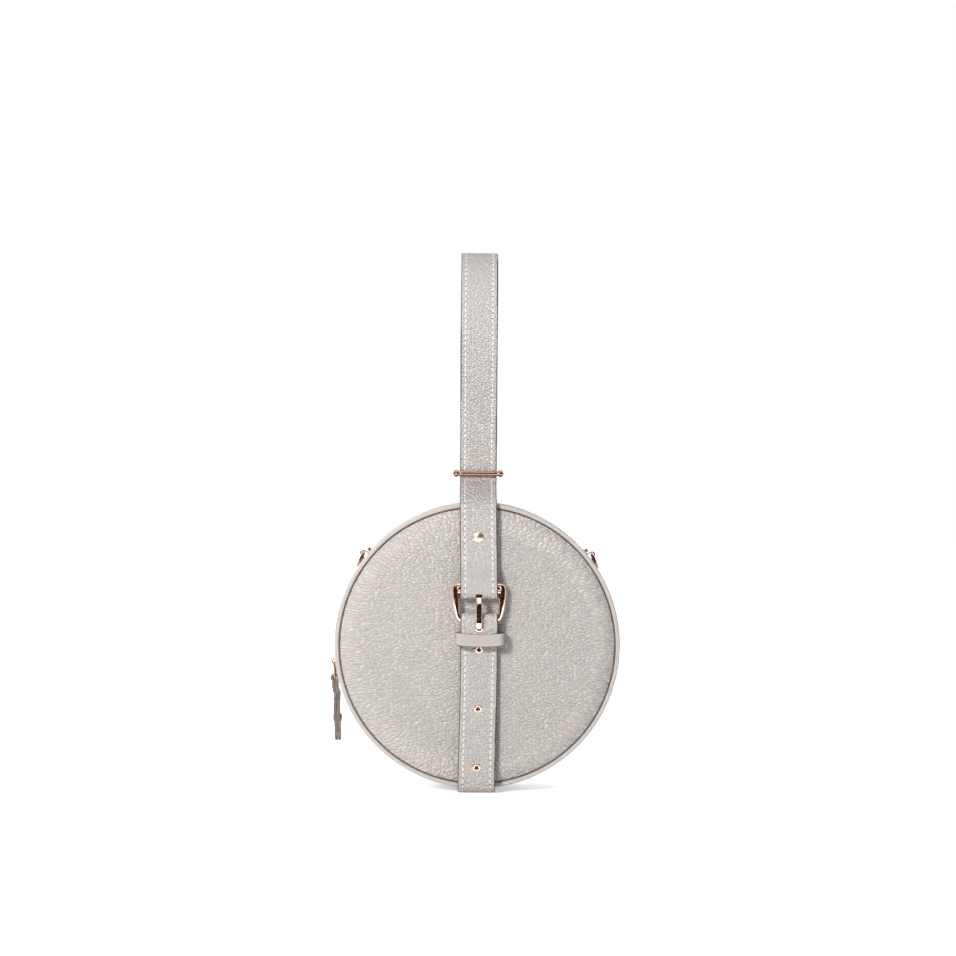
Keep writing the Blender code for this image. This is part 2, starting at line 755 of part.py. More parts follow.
def punch(strap, name, height, forwards, radius):
    """Round hole through one strap, from one forward distance to another."""
    middle = (0, -sum(forwards) / 2, height)
    cut(strap, rod(name, middle, (0, 1, 0), radius, forwards[1] - forwards[0], leather, True))


def build_eyelets():
    hole = eyelet_bore + eyelet_barrel_wall + seat_gap
    face = half_strap + eyelet_seat
    barrel = eyelet_bore + eyelet_barrel_wall
    places = [(frame_bottom - eyelet_front_drop, front_layer)]
    places += [(disc_centre - share * body_radius, rear_layer) for share in eyelet_drop_shares]
    for index, (height, layer) in enumerate(places, 1):
        front = layer + face
        back = layer - face
        profile = [(eyelet_radius - eyelet_flange / 2, front + eyelet_flange),
                   (eyelet_radius, front + eyelet_flange / 2), (eyelet_radius, front),
                   (barrel, front), (barrel, back), (eyelet_radius, back),
                   (eyelet_radius, back - eyelet_back_flange),
                   (eyelet_bore, back - eyelet_back_flange),
                   (eyelet_bore, front + eyelet_flange / 2),
                   (barrel, front + eyelet_flange)]
        turned(f"eyelet_{index}", profile, rose_gold, FRONT, (0, 0, height), eyelet_steps)
        span = (layer - strap_thickness, layer + strap_thickness)
        punch(long_strap, f"eyelet_cut_{index}", height, span, hole)


def build_strap_rivet():
    """Domed rivet through the upper strap and its turned-back end."""
    base = upper_middle + half_strap + seat_gap
    back = turned_middle - half_strap - eyelet_seat
    rim = rivet_head / 4
    profile = [(0, base + rivet_head), (rivet_head_radius * rivet_shoulder_share, base + 3 * rim),
               (rivet_head_radius, base + rim), (rivet_head_radius, base), (rivet_shaft, base),
               (rivet_shaft, back), (2 * rivet_shaft, back),
               (2 * rivet_shaft, back - eyelet_back_flange), (0, back - eyelet_back_flange)]
    rivet_height = turned_end_height - rivet_inset
    turned("strap_rivet", profile, rose_gold, FRONT, (0, 0, rivet_height), eyelet_steps)
    span = (turned_middle - strap_thickness, upper_middle + strap_thickness)
    punch(upper_strap, "rivet_cut", rivet_height, span, rivet_shaft + bore_gap)


build_eyelets()
build_strap_rivet()


# Rings: a saddle on the rear gusset strip holds each ring by its bar, with a stud in each foot

def drum_place(angle, along, radius):
    """(x, height) of a place near the drum's edge: along its edge, and out from its axis."""
    turn = math.radians(angle)
    return (radius * math.cos(turn) - along * math.sin(turn),
            disc_centre + radius * math.sin(turn) + along * math.cos(turn))


def build_ring(side, angle, holes):
    """Saddle, two studs and the ring itself at one side; holes collects the studs' places."""
    base = gusset_top + seat_gap
    bar = gusset_top + ring_pivot_rise
    arch_in = ring_wire + bore_gap
    arch_out = arch_in + saddle_thickness
    end = arch_out + saddle_foot
    steps = fold_steps
    half = [(arch_in, base), (end, base), (end, base + saddle_thickness),
            (arch_out, base + saddle_thickness), (arch_out, bar)]
    turn = [math.radians(180 * step / steps) for step in range(steps + 1)]
    over = [(arch_out * math.cos(t), bar + arch_out * math.sin(t)) for t in turn[1:-1]]
    under = [(arch_in * math.cos(t), bar + arch_in * math.sin(t)) for t in turn[::-1]]
    local = half + over + [(-s, r) for s, r in half[::-1]] + under
    outline = [drum_place(angle, s, r) for s, r in local]
    saddle = plate("ring_saddle_" + side, [outline], saddle_width / 2, rose_gold, FRONT_VIEW)
    saddle.location = (0, ring_back, 0)
    out = Vector((math.cos(math.radians(angle)), 0, math.sin(math.radians(angle))))
    for index, sign in enumerate((-1, 1), 1):
        along = sign * (arch_out + saddle_foot / 2)
        x, z = drum_place(angle, along, 0)
        foot = Vector((x, ring_back, z))
        build_stud(f"ring_stud_{side}_{index}", foot, out, base)
        middle = foot + out * base
        hole = rod(f"stud_cut_{side}_{index}", middle, out, stud_shaft + bore_gap / 2,
                   4 * gusset_thickness, leather, cutter=True, sides=8)
        cut(saddle, hole)
        holes.append(hole)
    build_hanging_ring(side, angle, bar)


def build_stud(name, foot, out, base):
    """Tall domed stud with a shaft through the saddle and the gusset, spread inside."""
    top = base + saddle_thickness + eyelet_seat
    inside = gusset_edge + gusset_crown * gusset_crown_shares[1][1] - gusset_thickness - seat_gap
    spread = 2 * stud_shaft
    rim = stud_head / 4
    profile = [(0, top + stud_head), (stud_radius * stud_dome_share, top + stud_head - rim),
               (stud_radius, top + 2 * rim), (stud_radius * stud_waist_share, top),
               (stud_shaft, top),
               (stud_shaft, inside), (spread, inside), (spread, inside - stud_shaft / 2),
               (0, inside - stud_shaft / 2)]
    stud = turned(name, profile, rose_gold, (0, 0, 0), foot, 8)
    stud.rotation_mode = "QUATERNION"
    stud.rotation_quaternion = out.to_track_quat("Z", "Y")


def build_hanging_ring(side, angle, bar):
    """D-shaped ring whose bow lies against the gusset below its bar."""
    bow = ring_half_width
    straight = ring_drop - bow
    steps = fold_steps
    corner = ring_wire
    places = [(-bow + corner, 0), (bow - corner, 0), (bow, corner)]
    for step in range(steps + 1):
        turn = math.pi * step / steps
        places.append((bow * math.cos(turn), straight + bow * math.sin(turn)))
    places.append((-bow, corner))
    rest = gusset_top + seat_gap + ring_wire
    lean = math.acos((rest * rest - bar * bar - ring_drop * ring_drop) / (2 * bar * ring_drop))
    sign = 1 if side == "left" else -1
    turn = math.radians(angle) + sign * lean
    hang = Vector((math.cos(turn), 0, math.sin(turn)))
    x, z = drum_place(angle, 0, bar)
    matrix = Matrix.Translation((x, ring_back, z)) @ Matrix(
        ((0, hang.x, hang.z, 0), (1, 0, 0, 0), (0, hang.z, -hang.x, 0), (0, 0, 0, 1)))
    ring = wire_loop("ring_" + side, [(a, b, 0) for a, b in places], ring_wire,
                     [1] * len(places), rose_gold, matrix)
    hang_on(f"ring_{side}_axis", (x, ring_back, z), [ring])


stud_holes = []
build_ring("left", ring_left_angle, stud_holes)
build_ring("right", ring_right_angle, stud_holes)
for stud_hole in stud_holes:
    cut(bpy.data.objects["zip_gusset_rear"], stud_hole)


# Zip slider: plates above and below the teeth with a neck between, a bridge, a link and a tab

def build_slider():
    above = gusset_at_zip + seat_gap
    below = tape_inner - seat_gap
    top = above + slider_plate
    wide = slider_half_width
    thin = slider_neck_half
    profile = [(top, wide), (above, wide), (above, thin), (below, thin), (below, wide),
               (below - slider_plate, wide)]
    profile += [(r, -f) for r, f in profile[::-1]]
    half_sweep = math.degrees(slider_half_length / above)
    sweep = (slider_rest_angle - half_sweep, slider_rest_angle + half_sweep)
    slider = arc_part("zip_slider", profile, sweep, rose_gold)
    steps = fold_steps
    turn = [math.pi * step / steps for step in range(steps + 1)]
    inner_span = bridge_half_span - bridge_thickness
    outer = [(bridge_half_span * math.cos(t), top + bridge_rise * math.sin(t)) for t in turn]
    inner = [(inner_span * math.cos(t), top + (bridge_rise - bridge_thickness) * math.sin(t))
             for t in turn[::-1]]
    sunk = slider_plate / 2
    local = [(bridge_half_span, top - sunk)] + outer + [(-bridge_half_span, top - sunk),
                                                       (-inner_span, top - sunk)]
    local += inner + [(inner_span, top - sunk)]
    outline = [drum_place(slider_rest_angle, s, r) for s, r in local]
    bridge = plate("bridge_join", [outline], bridge_half_width, rose_gold, FRONT_VIEW, cutter=True)
    cut(slider, bridge, "UNION")
    hang_on("zip_travel_axis", AT_DRUM, [slider])
    return drum_place(slider_rest_angle, 0, top + bridge_rise - bridge_thickness - link_wire
                      - bore_gap)


def build_pull(pivot):
    """Wire link through the bridge, and a leather tab folded round the link's lower bar."""
    lean = math.radians(link_lean)
    down = Vector((math.sin(lean), 0, -math.cos(lean)))
    bend = link_wire
    wide = link_half_width
    places = [(-wide + bend, 0), (wide - bend, 0), (wide, bend), (wide, link_length - bend),
              (wide - bend, link_length), (bend - wide, link_length), (-wide, link_length - bend),
              (-wide, bend)]
    place = Matrix.Translation((pivot[0], 0, pivot[1])) @ Matrix(
        ((0, down.x, down.z, 0), (1, 0, 0, 0), (0, down.z, -down.x, 0), (0, 0, 0, 1)))
    link = wire_loop("pull_link", [(a, b, 0) for a, b in places], link_wire, [1] * len(places),
                     rose_gold, place)
    eye = (pivot[0] + down.x * link_length, pivot[1] + down.z * link_length)
    bore = link_wire + bore_gap
    fold = bore + tab_leaf
    spread = math.degrees(math.asin(tab_leaf / fold))
    outline = arc_points(eye, fold, spread - 90, 270 - spread, fold_steps)
    low = eye[1] - tab_length
    outline += [Vector((eye[0] - tab_leaf, low + tab_leaf)), Vector((eye[0] - tab_leaf / 2, low)),
                Vector((eye[0] + tab_leaf / 2, low)), Vector((eye[0] + tab_leaf, low + tab_leaf))]
    hole = arc_points(eye, bore, 0, 360, fold_steps)[:-1]
    tab = plate("pull_tab", [outline, hole], tab_half_width, leather, FRONT_VIEW)
    rivet_place = (eye[0], 0, eye[1] - tab_rivet_drop)
    face = tab_leaf + eyelet_seat
    high, low = tab_rivet_height_shares
    profile = [(0, face + tab_rivet_head),
               (tab_rivet_radius * tab_rivet_dome_share, face + tab_rivet_head * high),
               (tab_rivet_radius, face + tab_rivet_head * low), (tab_rivet_radius, face),
               (tab_rivet_shaft, face)]
    profile += [(r, -f) for r, f in profile[::-1]]
    rivet = turned("pull_rivet", profile, rose_gold, (0, math.pi / 2, 0), rivet_place, eyelet_steps)
    cut(tab, rod("tab_rivet_cut", rivet_place, (1, 0, 0), tab_rivet_shaft + bore_gap,
                 4 * tab_leaf, leather, cutter=True))
    hang_on("pull_axis", (pivot[0], 0, pivot[1]), [link, tab, rivet])


build_pull(build_slider())
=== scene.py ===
"""A round leather handbag with a buckled strap and a top handle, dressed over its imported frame.

Metres, +Z up, the front of the bag looks along -Y. "Forward" is a distance from the bag's middle
plane towards the front. Angles round the drum are seen from the front, 0 at the right, 90 on top.
"""

import json
import math

import bmesh
import bpy
import numpy as np
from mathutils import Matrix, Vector

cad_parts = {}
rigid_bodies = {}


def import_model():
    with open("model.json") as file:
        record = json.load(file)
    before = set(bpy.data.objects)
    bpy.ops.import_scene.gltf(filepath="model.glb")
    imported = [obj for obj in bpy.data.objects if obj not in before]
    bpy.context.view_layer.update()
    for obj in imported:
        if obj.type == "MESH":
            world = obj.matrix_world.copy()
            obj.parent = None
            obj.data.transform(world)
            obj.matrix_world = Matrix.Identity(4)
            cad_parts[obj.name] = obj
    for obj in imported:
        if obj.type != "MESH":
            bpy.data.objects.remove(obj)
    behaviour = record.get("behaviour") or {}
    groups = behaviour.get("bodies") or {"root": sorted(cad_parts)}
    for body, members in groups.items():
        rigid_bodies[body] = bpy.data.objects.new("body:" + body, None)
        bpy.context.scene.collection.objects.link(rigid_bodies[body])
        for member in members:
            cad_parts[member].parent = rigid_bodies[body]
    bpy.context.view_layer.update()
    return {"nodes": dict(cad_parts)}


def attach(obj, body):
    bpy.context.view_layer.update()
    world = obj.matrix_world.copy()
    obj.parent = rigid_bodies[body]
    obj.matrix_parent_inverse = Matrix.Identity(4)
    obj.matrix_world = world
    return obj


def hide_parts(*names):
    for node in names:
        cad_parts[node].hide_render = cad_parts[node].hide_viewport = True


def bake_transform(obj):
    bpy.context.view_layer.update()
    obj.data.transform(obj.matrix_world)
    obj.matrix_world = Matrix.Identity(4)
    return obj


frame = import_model()


# The studio: a long lens level with the strap's pinch, a pale sweep under and behind the bag, and
# soft lamps, the strongest from the upper left, as on a product table. Two lamps light the back.
# A curved dark card in front is seen only in reflections, and gives the metal its dark faces.

eye_place = (-0.0002, -1.5393, 0.211)
lens_mm = 85.0
sensor_mm = 36.0
nearest_seen = 0.05
tilt_of_camera = math.radians(0.39)
bag_middle = (0.0, 0.0, 0.16)
lamps = (("key_lamp", (-0.62, -1.17, 0.66), 0.30, 17.2),
         ("fill_lamp", (1.05, -0.80, 0.30), 0.60, 1.5),
         ("top_lamp", (-0.10, -0.25, 1.30), 0.60, 2.5),
         ("left_back_lamp", (-1.00, 0.95, 0.60), 0.60, 10.0),
         ("right_back_lamp", (0.75, 1.20, 0.60), 0.60, 9.0))
floor_reach = 6.0
sweep_tone = 0.93
foot_glow = 0.44
open_glow = 0.71
glow_distances = (0.04, 0.12)
card_distance = 0.95
card_heights = (0.002, 1.10)
card_angles = (-172, -8)
card_strips = 17
card_tone = (0.030, 0.014, 0.010)
room_level = 0.12

camera_data = bpy.data.cameras.new("camera")
camera_data.lens = lens_mm
camera_data.sensor_width = sensor_mm
camera_data.clip_start = nearest_seen
camera = bpy.data.objects.new("camera", camera_data)
camera.location = eye_place
camera.rotation_euler = (math.pi / 2, 0, 0)
camera.rotation_euler.rotate_axis("Z", tilt_of_camera)
bpy.context.collection.objects.link(camera)
bpy.context.scene.camera = camera
bpy.context.scene.view_settings.view_transform = "Standard"

for name, place, size, watts in lamps:
    lamp_data = bpy.data.lights.new(name, "AREA")
    lamp_data.shape = "SQUARE"
    lamp_data.size = size
    lamp_data.energy = watts
    lamp = bpy.data.objects.new(name, lamp_data)
    lamp.location = place
    aim = Vector(bag_middle) - Vector(place)
    lamp.rotation_euler = aim.to_track_quat("-Z", "Y").to_euler()
    bpy.context.collection.objects.link(lamp)


class Wire:
    """One socket of a node tree. Sums and products of wires add Math nodes, so that shader maths
    reads as plain maths; node() adds any other node."""

    def __init__(self, tree, socket=None):
        self.tree = tree
        self.socket = socket

    def node(self, kind, settings=None, inputs=None, output=0):
        """A node of that kind: its settings first, then values or wires for its sockets."""
        made = self.tree.nodes.new(kind)
        for name, value in (settings or {}).items():
            setattr(made, name, value)
        for key, value in (inputs or {}).items():
            if isinstance(value, Wire):
                self.tree.links.new(value.socket, made.inputs[key])
            else:
                made.inputs[key].default_value = value
        return Wire(self.tree, made.outputs[output])

    def maths(self, operation, *values):
        """A Math node on wires and numbers."""
        return self.node("ShaderNodeMath", {"operation": operation}, dict(enumerate(values)))

    def __add__(self, other):
        return self.maths("ADD", self, other)

    def __sub__(self, other):
        return self.maths("SUBTRACT", self, other)

    def __rsub__(self, other):
        return self.maths("SUBTRACT", other, self)

    def __mul__(self, other):
        return self.maths("MULTIPLY", self, other)

    __radd__ = __add__
    __rmul__ = __mul__

    def between(self, low, high):
        """0 below low, 1 above high and a smooth rise between them."""
        return self.node("ShaderNodeMapRange", {"interpolation_type": "SMOOTHSTEP"},
                         {"Value": self, "From Min": low, "From Max": high})

    def blend(self, first, second):
        """The first colour where this is 0 and the second where it is 1."""
        return self.node("ShaderNodeMix", {"data_type": "RGBA"},
                         {"Factor": self, 6: first, 7: second}, 2)

    def noise(self, scale, detail=2.0, rough=0.5, output=0):
        """Soft noise read at this place, in patches of about one over the scale."""
        return self.node("ShaderNodeTexNoise", None, {"Vector": self, "Scale": scale,
                                                      "Detail": detail, "Roughness": rough}, output)

    def threads(self, way, scale, drift=0.0):
        """Even ribs across a direction, read at this place and drifting a little."""
        return self.node("ShaderNodeTexWave", {"bands_direction": way},
                         {"Vector": self, "Scale": scale, "Distortion": drift})

    def place(self):
        """Where a point lies in the object, in metres."""
        return self.node("ShaderNodeTexCoord", output=3)

    def seen(self):
        """1 for what is seen directly, mirrored or looked through, and 0 for light cast on."""
        path = self.node("ShaderNodeLightPath").socket.node.outputs
        camera_ray, glossy_ray, clear_ray = (Wire(self.tree, path[f"Is {kind} Ray"])
                                             for kind in ("Camera", "Glossy", "Transmission"))
        return self.maths("MINIMUM", camera_ray + glossy_ray + clear_ray, 1.0)


def new_material(name, values):
    """Material with those values on its Principled shader: (material, tree wire, shader)."""
    material = bpy.data.materials.new(name)
    material.use_nodes = True
    shader = material.node_tree.nodes["Principled BSDF"]
    for socket, value in values.items():
        shader.inputs[socket].default_value = value
    return material, Wire(material.node_tree), shader


def tint(tone, share=1.0):
    """A tone as a colour, made lighter or darker by a share."""
    return (*(share * c for c in tone), 1)


def sweep_material():
    """Pale table top that the camera sees as white, with the bag's shadow kept: it glows by the
    foot's share, and by more with the distance from the bag."""
    material, tree, shader = new_material("pale_sweep", {
        "Base Color": tint((sweep_tone,) * 3), "Roughness": 0.9, "Specular IOR Level": 0.1,
        "Emission Color": tint((1, 1, 1))})
    away = tree.node("ShaderNodeVectorMath", {"operation": "LENGTH"}, {0: tree.place()}, 1)
    glow = tree.seen() * (foot_glow + away.between(*glow_distances) * open_glow)
    tree.tree.links.new(glow.socket, shader.inputs["Emission Strength"])
    return material


def stage_piece(name, spots, faces, material):
    """A piece of the studio, from places and faces: no part of the bag."""
    mesh = bpy.data.meshes.new(name)
    mesh.from_pydata(spots, [], faces)
    mesh.materials.append(material)
    piece = bpy.data.objects.new(name, mesh)
    bpy.context.collection.objects.link(piece)
    return piece


floor_corners = [(x * floor_reach, y * floor_reach, 0)
                 for x, y in ((-1, -1), (1, -1), (1, 1), (-1, 1))]
stage_piece("floor", floor_corners, [(0, 1, 2, 3)], sweep_material())

card_black, _, _ = new_material("card_black", {"Base Color": tint(card_tone),
                                               "Specular IOR Level": 0.0})
card_turn = np.radians(np.linspace(*card_angles, card_strips + 1))
card_spots = [(card_distance * math.cos(turn), card_distance * math.sin(turn), height)
              for height in card_heights for turn in card_turn]
card_faces = [(k, k + 1, k + card_strips + 2, k + card_strips + 1) for k in range(card_strips)]
dark_card = stage_piece("dark_card", card_spots, card_faces, card_black)
dark_card.visible_camera = False
dark_card.visible_diffuse = False
dark_card.visible_shadow = False

world = bpy.data.worlds.new("studio")
bpy.context.scene.world = world
world.use_nodes = True
air = Wire(world.node_tree)
backing = world.node_tree.nodes["Background"]
backing.inputs["Color"].default_value = (1, 1, 1, 1)
level = air.seen() * (1.0 - room_level) + room_level
air.tree.links.new(level.socket, backing.inputs["Strength"])


# The two panels: round pieces of pebbled leather over board, flat in the middle and turned over
# a rounded shoulder to the seam, where the sewing draws small puckers into the edge.

drum_height = 0.0986
panel_radius = 0.0919
panel_forward = 0.0290
panel_crown = 0.0012
panel_thickness = 0.0025
shoulder_width = 0.0110
shoulder_drop = 0.0036
shoulder_fullness = 2.2
face_rings = 36
shoulder_rings = 17
panel_spokes = 360
pucker_depth = 0.00016
pucker_reach = 0.0045
pucker_count = 74
panel_swell = 0.00013
swell_length = 0.014
seam_strip = 0.001
drawn_width = 0.006
# The crease tones are darker than the leather tones: partly the hide's own colour in its creases
# and partly painted shade there.
leather_tone = (0.610, 0.570, 0.545)
crease_tone = (0.525, 0.482, 0.453)
panel_tone = (0.572, 0.532, 0.507)
panel_crease = (0.490, 0.449, 0.421)
grain_shares = (0.66, 1.22, 1.0)
crease_share = 0.11
cloud_scale = 45.0
# Calm bands: the grain pressed flat by a share, and the leather darkened to a share of its tone as
# painted shade.
calm_grain_share = 0.55
calm_shade_share = 0.77
both_faces = {"front": 1, "rear": -1}
merge_distance = 0.0000005
sliver_length = 0.0000002


def full_turn(count):
    """Even angles once round, without the last one that closes them."""
    return np.linspace(0, 2 * math.pi, count, endpoint=False)


def run(points, closed=False):
    """Length along a row of points, and on to the first one again where it is closed."""
    if closed:
        points = np.concatenate([points, points[:1]])
    return np.concatenate([[0], np.cumsum(np.hypot(*np.diff(points, axis=0).T))])


def laid_flat(along, around):
    """The skin of a strip: every length along it paired with every length round it."""
    return np.stack(np.broadcast_arrays(along[:, None], around[None, :]), -1)


def skin_mesh(grid, skin, ring=False, loop=False, capped=False, sharp=40.0):
    """Closed mesh of quads over a grid of points. Rows follow the piece's length and columns go
    round its section. ring joins the last row to the first, loop the last column to the first,
    and capped closes both ends. skin is the leather laid flat, in metres, for each corner."""
    rows, cols = grid.shape[:2]
    i, j = np.meshgrid(np.arange(rows if ring else rows - 1),
                       np.arange(cols if loop else cols - 1), indexing="ij")
    corners = [(i, j), (i + 1, j), (i + 1, j + 1), (i, j + 1)]
    quads = np.stack([(a % rows) * cols + b % cols for a, b in corners], axis=-1).reshape(-1, 4)
    flat = np.stack([skin[a, b] for a, b in corners], axis=-2).reshape(-1, 2)
    faces = quads.tolist()
    if capped:
        last = (rows - 1) * cols
        faces += [list(range(cols)), list(range(last, last + cols))]
        flat = np.concatenate([flat, skin[0, :cols], skin[rows - 1, :cols]])
    mesh = bpy.data.meshes.new("surface")
    mesh.from_pydata(grid.reshape(-1, 3).tolist(), [], faces)
    mesh.uv_layers.new(name="skin").data.foreach_set("uv", flat.ravel())
    return close_mesh(mesh, sharp)


def close_mesh(mesh, sharp=40.0):
    """Merges doubled points, turns every face outwards and shades the rounds smooth."""
    bm = bmesh.new()
    bm.from_mesh(mesh)
    bmesh.ops.remove_doubles(bm, verts=bm.verts, dist=merge_distance)
    bmesh.ops.dissolve_degenerate(bm, edges=bm.edges, dist=sliver_length)
    bmesh.ops.recalc_face_normals(bm, faces=bm.faces)
    bm.to_mesh(mesh)
    bm.free()
    mesh.shade_smooth()
    mesh.set_sharp_from_angle(angle=math.radians(sharp))
    return mesh


def dress(name, mesh, materials, body, nodes):
    """Object of a mesh that rides on a body, or on none if none is given, and that stands for
    CAD nodes, which it hides."""
    mesh.name = name
    piece = bpy.data.objects.new(name, mesh)
    for material in materials:
        mesh.materials.append(material)
    bpy.context.collection.objects.link(piece)
    if body:
        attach(piece, body)
    if nodes:
        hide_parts(*nodes)
    return piece


def waves(x, y, seed, size):
    """Slow swells of a hide: a sum of six sine waves in fixed directions, each shorter than the
    last, about -1 to 1."""
    total = 0.0
    for k in range(6):
        turn = seed + 2.4 * k
        total = total + np.sin((x * math.cos(turn) + y * math.sin(turn)) * (1 + 0.31 * k) / size
                               + 1.7 * k + seed)
    return total / 4.0


def give_finish(shader, colour, roughness, relief=None, depth=0.0):
    """Links colour and roughness to the shader, and the relief as a bump of a depth in metres."""
    links = colour.tree.links
    links.new(colour.socket, shader.inputs["Base Color"])
    links.new(roughness.socket, shader.inputs["Roughness"])
    if depth:
        bump = colour.node("ShaderNodeBump", None, {"Distance": depth, "Height": relief})
        links.new(bump.socket, shader.inputs["Normal"])


def leather_material(name, tone, crease, pebble, depth, rough=0.44, contrast=1.0,
                     calm_heights=()):
    """Pebbled hide: rounded cells of the pebble's size in metres, drawn a little long one way,
    with darker creases between them, partly the hide's own colour and partly painted shade,
    finer pores on top and slow changes of tone. Each cell has its own tone, and away from the
    creases it is lighter and smoother. Each of the calm heights is a band, rising from its first
    height to full at the second and falling from the third to the fourth, where the grain is
    pressed flat and the leather is painted darker as shade."""
    material, tree, shader = new_material(name, {"Specular IOR Level": 0.45})
    flat = tree.node("ShaderNodeUVMap", {"uv_map": "skin"})
    bent = tree.node("ShaderNodeVectorMath", {"operation": "MULTIPLY_ADD"},
                     {0: flat.noise(0.55 / pebble, output=1), 1: (1.1 * pebble,) * 3, 2: flat})
    drawn = tree.node("ShaderNodeVectorMath", {"operation": "MULTIPLY"}, {0: bent, 1: grain_shares})
    cells = {"Vector": drawn, "Scale": 1.0 / pebble, "Randomness": 0.9}
    edge = tree.node("ShaderNodeTexVoronoi", {"feature": "DISTANCE_TO_EDGE"}, cells)
    dome = tree.node("ShaderNodeTexVoronoi", {"feature": "SMOOTH_F1"},
                     {**cells, "Smoothness": 0.3})
    shade = tree.node("ShaderNodeTexVoronoi", None, cells, 1)
    own = tree.node("ShaderNodeSeparateColor", None, {"Color": shade})
    pores = flat.noise(4.0 / pebble, 3.0)
    cloud = flat.noise(cloud_scale, 4.0, 0.6)
    calm = 0.0
    if calm_heights:
        level = tree.node("ShaderNodeSeparateXYZ", None, {0: tree.place()}, 2)
        for start, full, back, end in calm_heights:
            calm = level.between(start, full) * (1.0 - level.between(back, end)) + calm
    full_grain = 1.0 - calm * calm_grain_share
    creased = (1.0 - edge.between(0.0, crease_share)) * full_grain
    raised = 1.0 - creased
    height = (raised * 0.22 - dome * 1.15 + pores * 0.16) * full_grain
    cell_tone = (own * 0.6 + cloud * 0.5).between(0.25, 0.80)
    topped = cell_tone.blend(tint(tone), tint(tone, 1 + 0.09 * contrast))
    # The creases take the crease tone: partly own colour, partly painted shade.
    toned = raised.blend(tint(crease), topped)
    if calm_heights:
        # Painted shade: the calm bands are darkened to a share of the tone.
        toned = calm.blend(toned, tint(tone, calm_shade_share))
    give_finish(shader, toned, rough + (1.0 - raised) * 0.2 - own * 0.08, height, depth)
    return material


def panel_mesh(side):
    """Dish turned about the drum's axis: face, shoulder and back, with puckers drawn in at the
    rim. The face falls with the square of the radius, the shoulder with a power of it. The
    leather laid flat is stretched outwards over the shoulder, so its grain is drawn long."""
    flat_radius = panel_radius - shoulder_width
    rim = panel_forward - panel_crown - shoulder_drop
    share = np.linspace(0, 1, face_rings)
    bend = np.linspace(0, 1, shoulder_rings + 1)[1:]
    inner_bend = 0.5 * math.pi * bend[::-3]
    inner_share = share[::-5]
    radius = np.concatenate([flat_radius * share, flat_radius + shoulder_width * bend,
                             flat_radius + (shoulder_width - panel_thickness) * np.sin(inner_bend),
                             flat_radius * inner_share])[:, None]
    forward = np.concatenate([panel_forward - panel_crown * share ** 2,
                              rim + shoulder_drop * (1 - bend ** shoulder_fullness),
                              rim + (shoulder_drop - panel_thickness) * np.cos(inner_bend),
                              panel_forward - panel_thickness - panel_crown * inner_share ** 2])
    turn = full_turn(panel_spokes)[None, :]
    outside = (np.arange(len(radius)) < face_rings + shoulder_rings)[:, None]
    near_rim = np.exp(-((radius - panel_radius) / pucker_reach) ** 2) * outside
    puckers = np.cos(pucker_count * turn + 1.3 * np.sin(5 * turn)) * (0.6 + 0.4 * np.sin(3 * turn))
    x = radius * np.cos(turn)
    z = radius * np.sin(turn)
    swells = waves(x, z, 0.7 + side, swell_length) * outside * (radius < panel_radius - seam_strip)
    forward = forward[:, None] + panel_swell * swells + pucker_depth * puckers * near_rim
    length = run(np.stack([radius[:, 0], forward[:, 0]], -1))[:, None]
    drag = np.maximum(length - flat_radius + drawn_width, 0)
    laid = length - 0.55 * drag ** 2 / (drag + drawn_width)
    full = np.linspace(0, 2 * math.pi, panel_spokes + 1)[None, :]
    skin = np.stack([laid * np.cos(full), laid * np.sin(full)], axis=-1)
    grid = np.stack([x * side, -forward * side, drum_height + z], axis=-1)
    return skin_mesh(grid, skin, loop=True)


panel_leather = leather_material("panel_leather", panel_tone, panel_crease, 0.0018, 0.00095)
for side, front in both_faces.items():
    dress(side + "_panel_leather", panel_mesh(front), [panel_leather], "bag_body",
          [side + "_panel"])


# The piping: a cord covered with the same leather, sewn in beside each panel, and the dark edge
# of the seam allowance that shows as a line between the two. That dark ring fills the groove
# level with the cord's top, so its dark is partly the edge's own paint and partly painted shade.

body_radius = 0.096
piping_radius = 0.0016
piping_forward = 0.0226
piping_squareness = 3.4
piping_swell = 0.00004
gather_depth = 0.000035
gather_length = 0.00062
gather_drift = 0.013
strip_swell_length = 0.011
welt_radii = (0.0918, 0.0928)
welt_forwards = (0.0200, 0.0242)
whole_turn = (90, 450)
piping_tone = (0.525, 0.486, 0.460)
# Tone of the edge paint, which also serves as painted shade.
paint_and_shade_tone = (0.094, 0.074, 0.065)


def drum_strip(section, start, end, steps, swell=0.0, seed=0.0, gather=0.0, front=1):
    """Section of (radius, forward) points carried round the drum between two angles in degrees.
    Its radius swells by slow waves, and small pinches follow one another like sewn gathers."""
    radius, forward = np.array(section).T[:, None, :]
    turn = np.radians(np.linspace(start, end, steps + 1))
    whole = end - start == 360
    skin = laid_flat(turn * body_radius, run(np.array(section), closed=True))
    turn = (turn[:-1] if whole else turn)[:, None]
    length = turn * body_radius
    radius = radius + swell * waves(length, forward, seed, strip_swell_length)
    radius = radius + gather * np.cos(length / gather_length + 2 * np.sin(length / gather_drift))
    spots = np.broadcast_arrays(radius * np.cos(turn), -front * forward,
                                drum_height + radius * np.sin(turn))
    return skin_mesh(np.stack(spots, axis=-1), skin, ring=whole, loop=True, capped=not whole)


def rounded_square(squareness, count):
    """Points of a rounded square that reaches 1 each way: a circle's points, each divided by the
    sum of its powers (2 is round, more is squarer)."""
    turn = full_turn(count)
    ball = np.stack([np.cos(turn), np.sin(turn)], -1)
    return ball / (np.abs(ball) ** squareness).sum(axis=1, keepdims=True) ** (1 / squareness)


def flat_band(radii, forwards):
    """Corners of a band's section between two radii and two forward distances."""
    return [(radii[0], forwards[0]), (radii[1], forwards[0]),
            (radii[1], forwards[1]), (radii[0], forwards[1])]


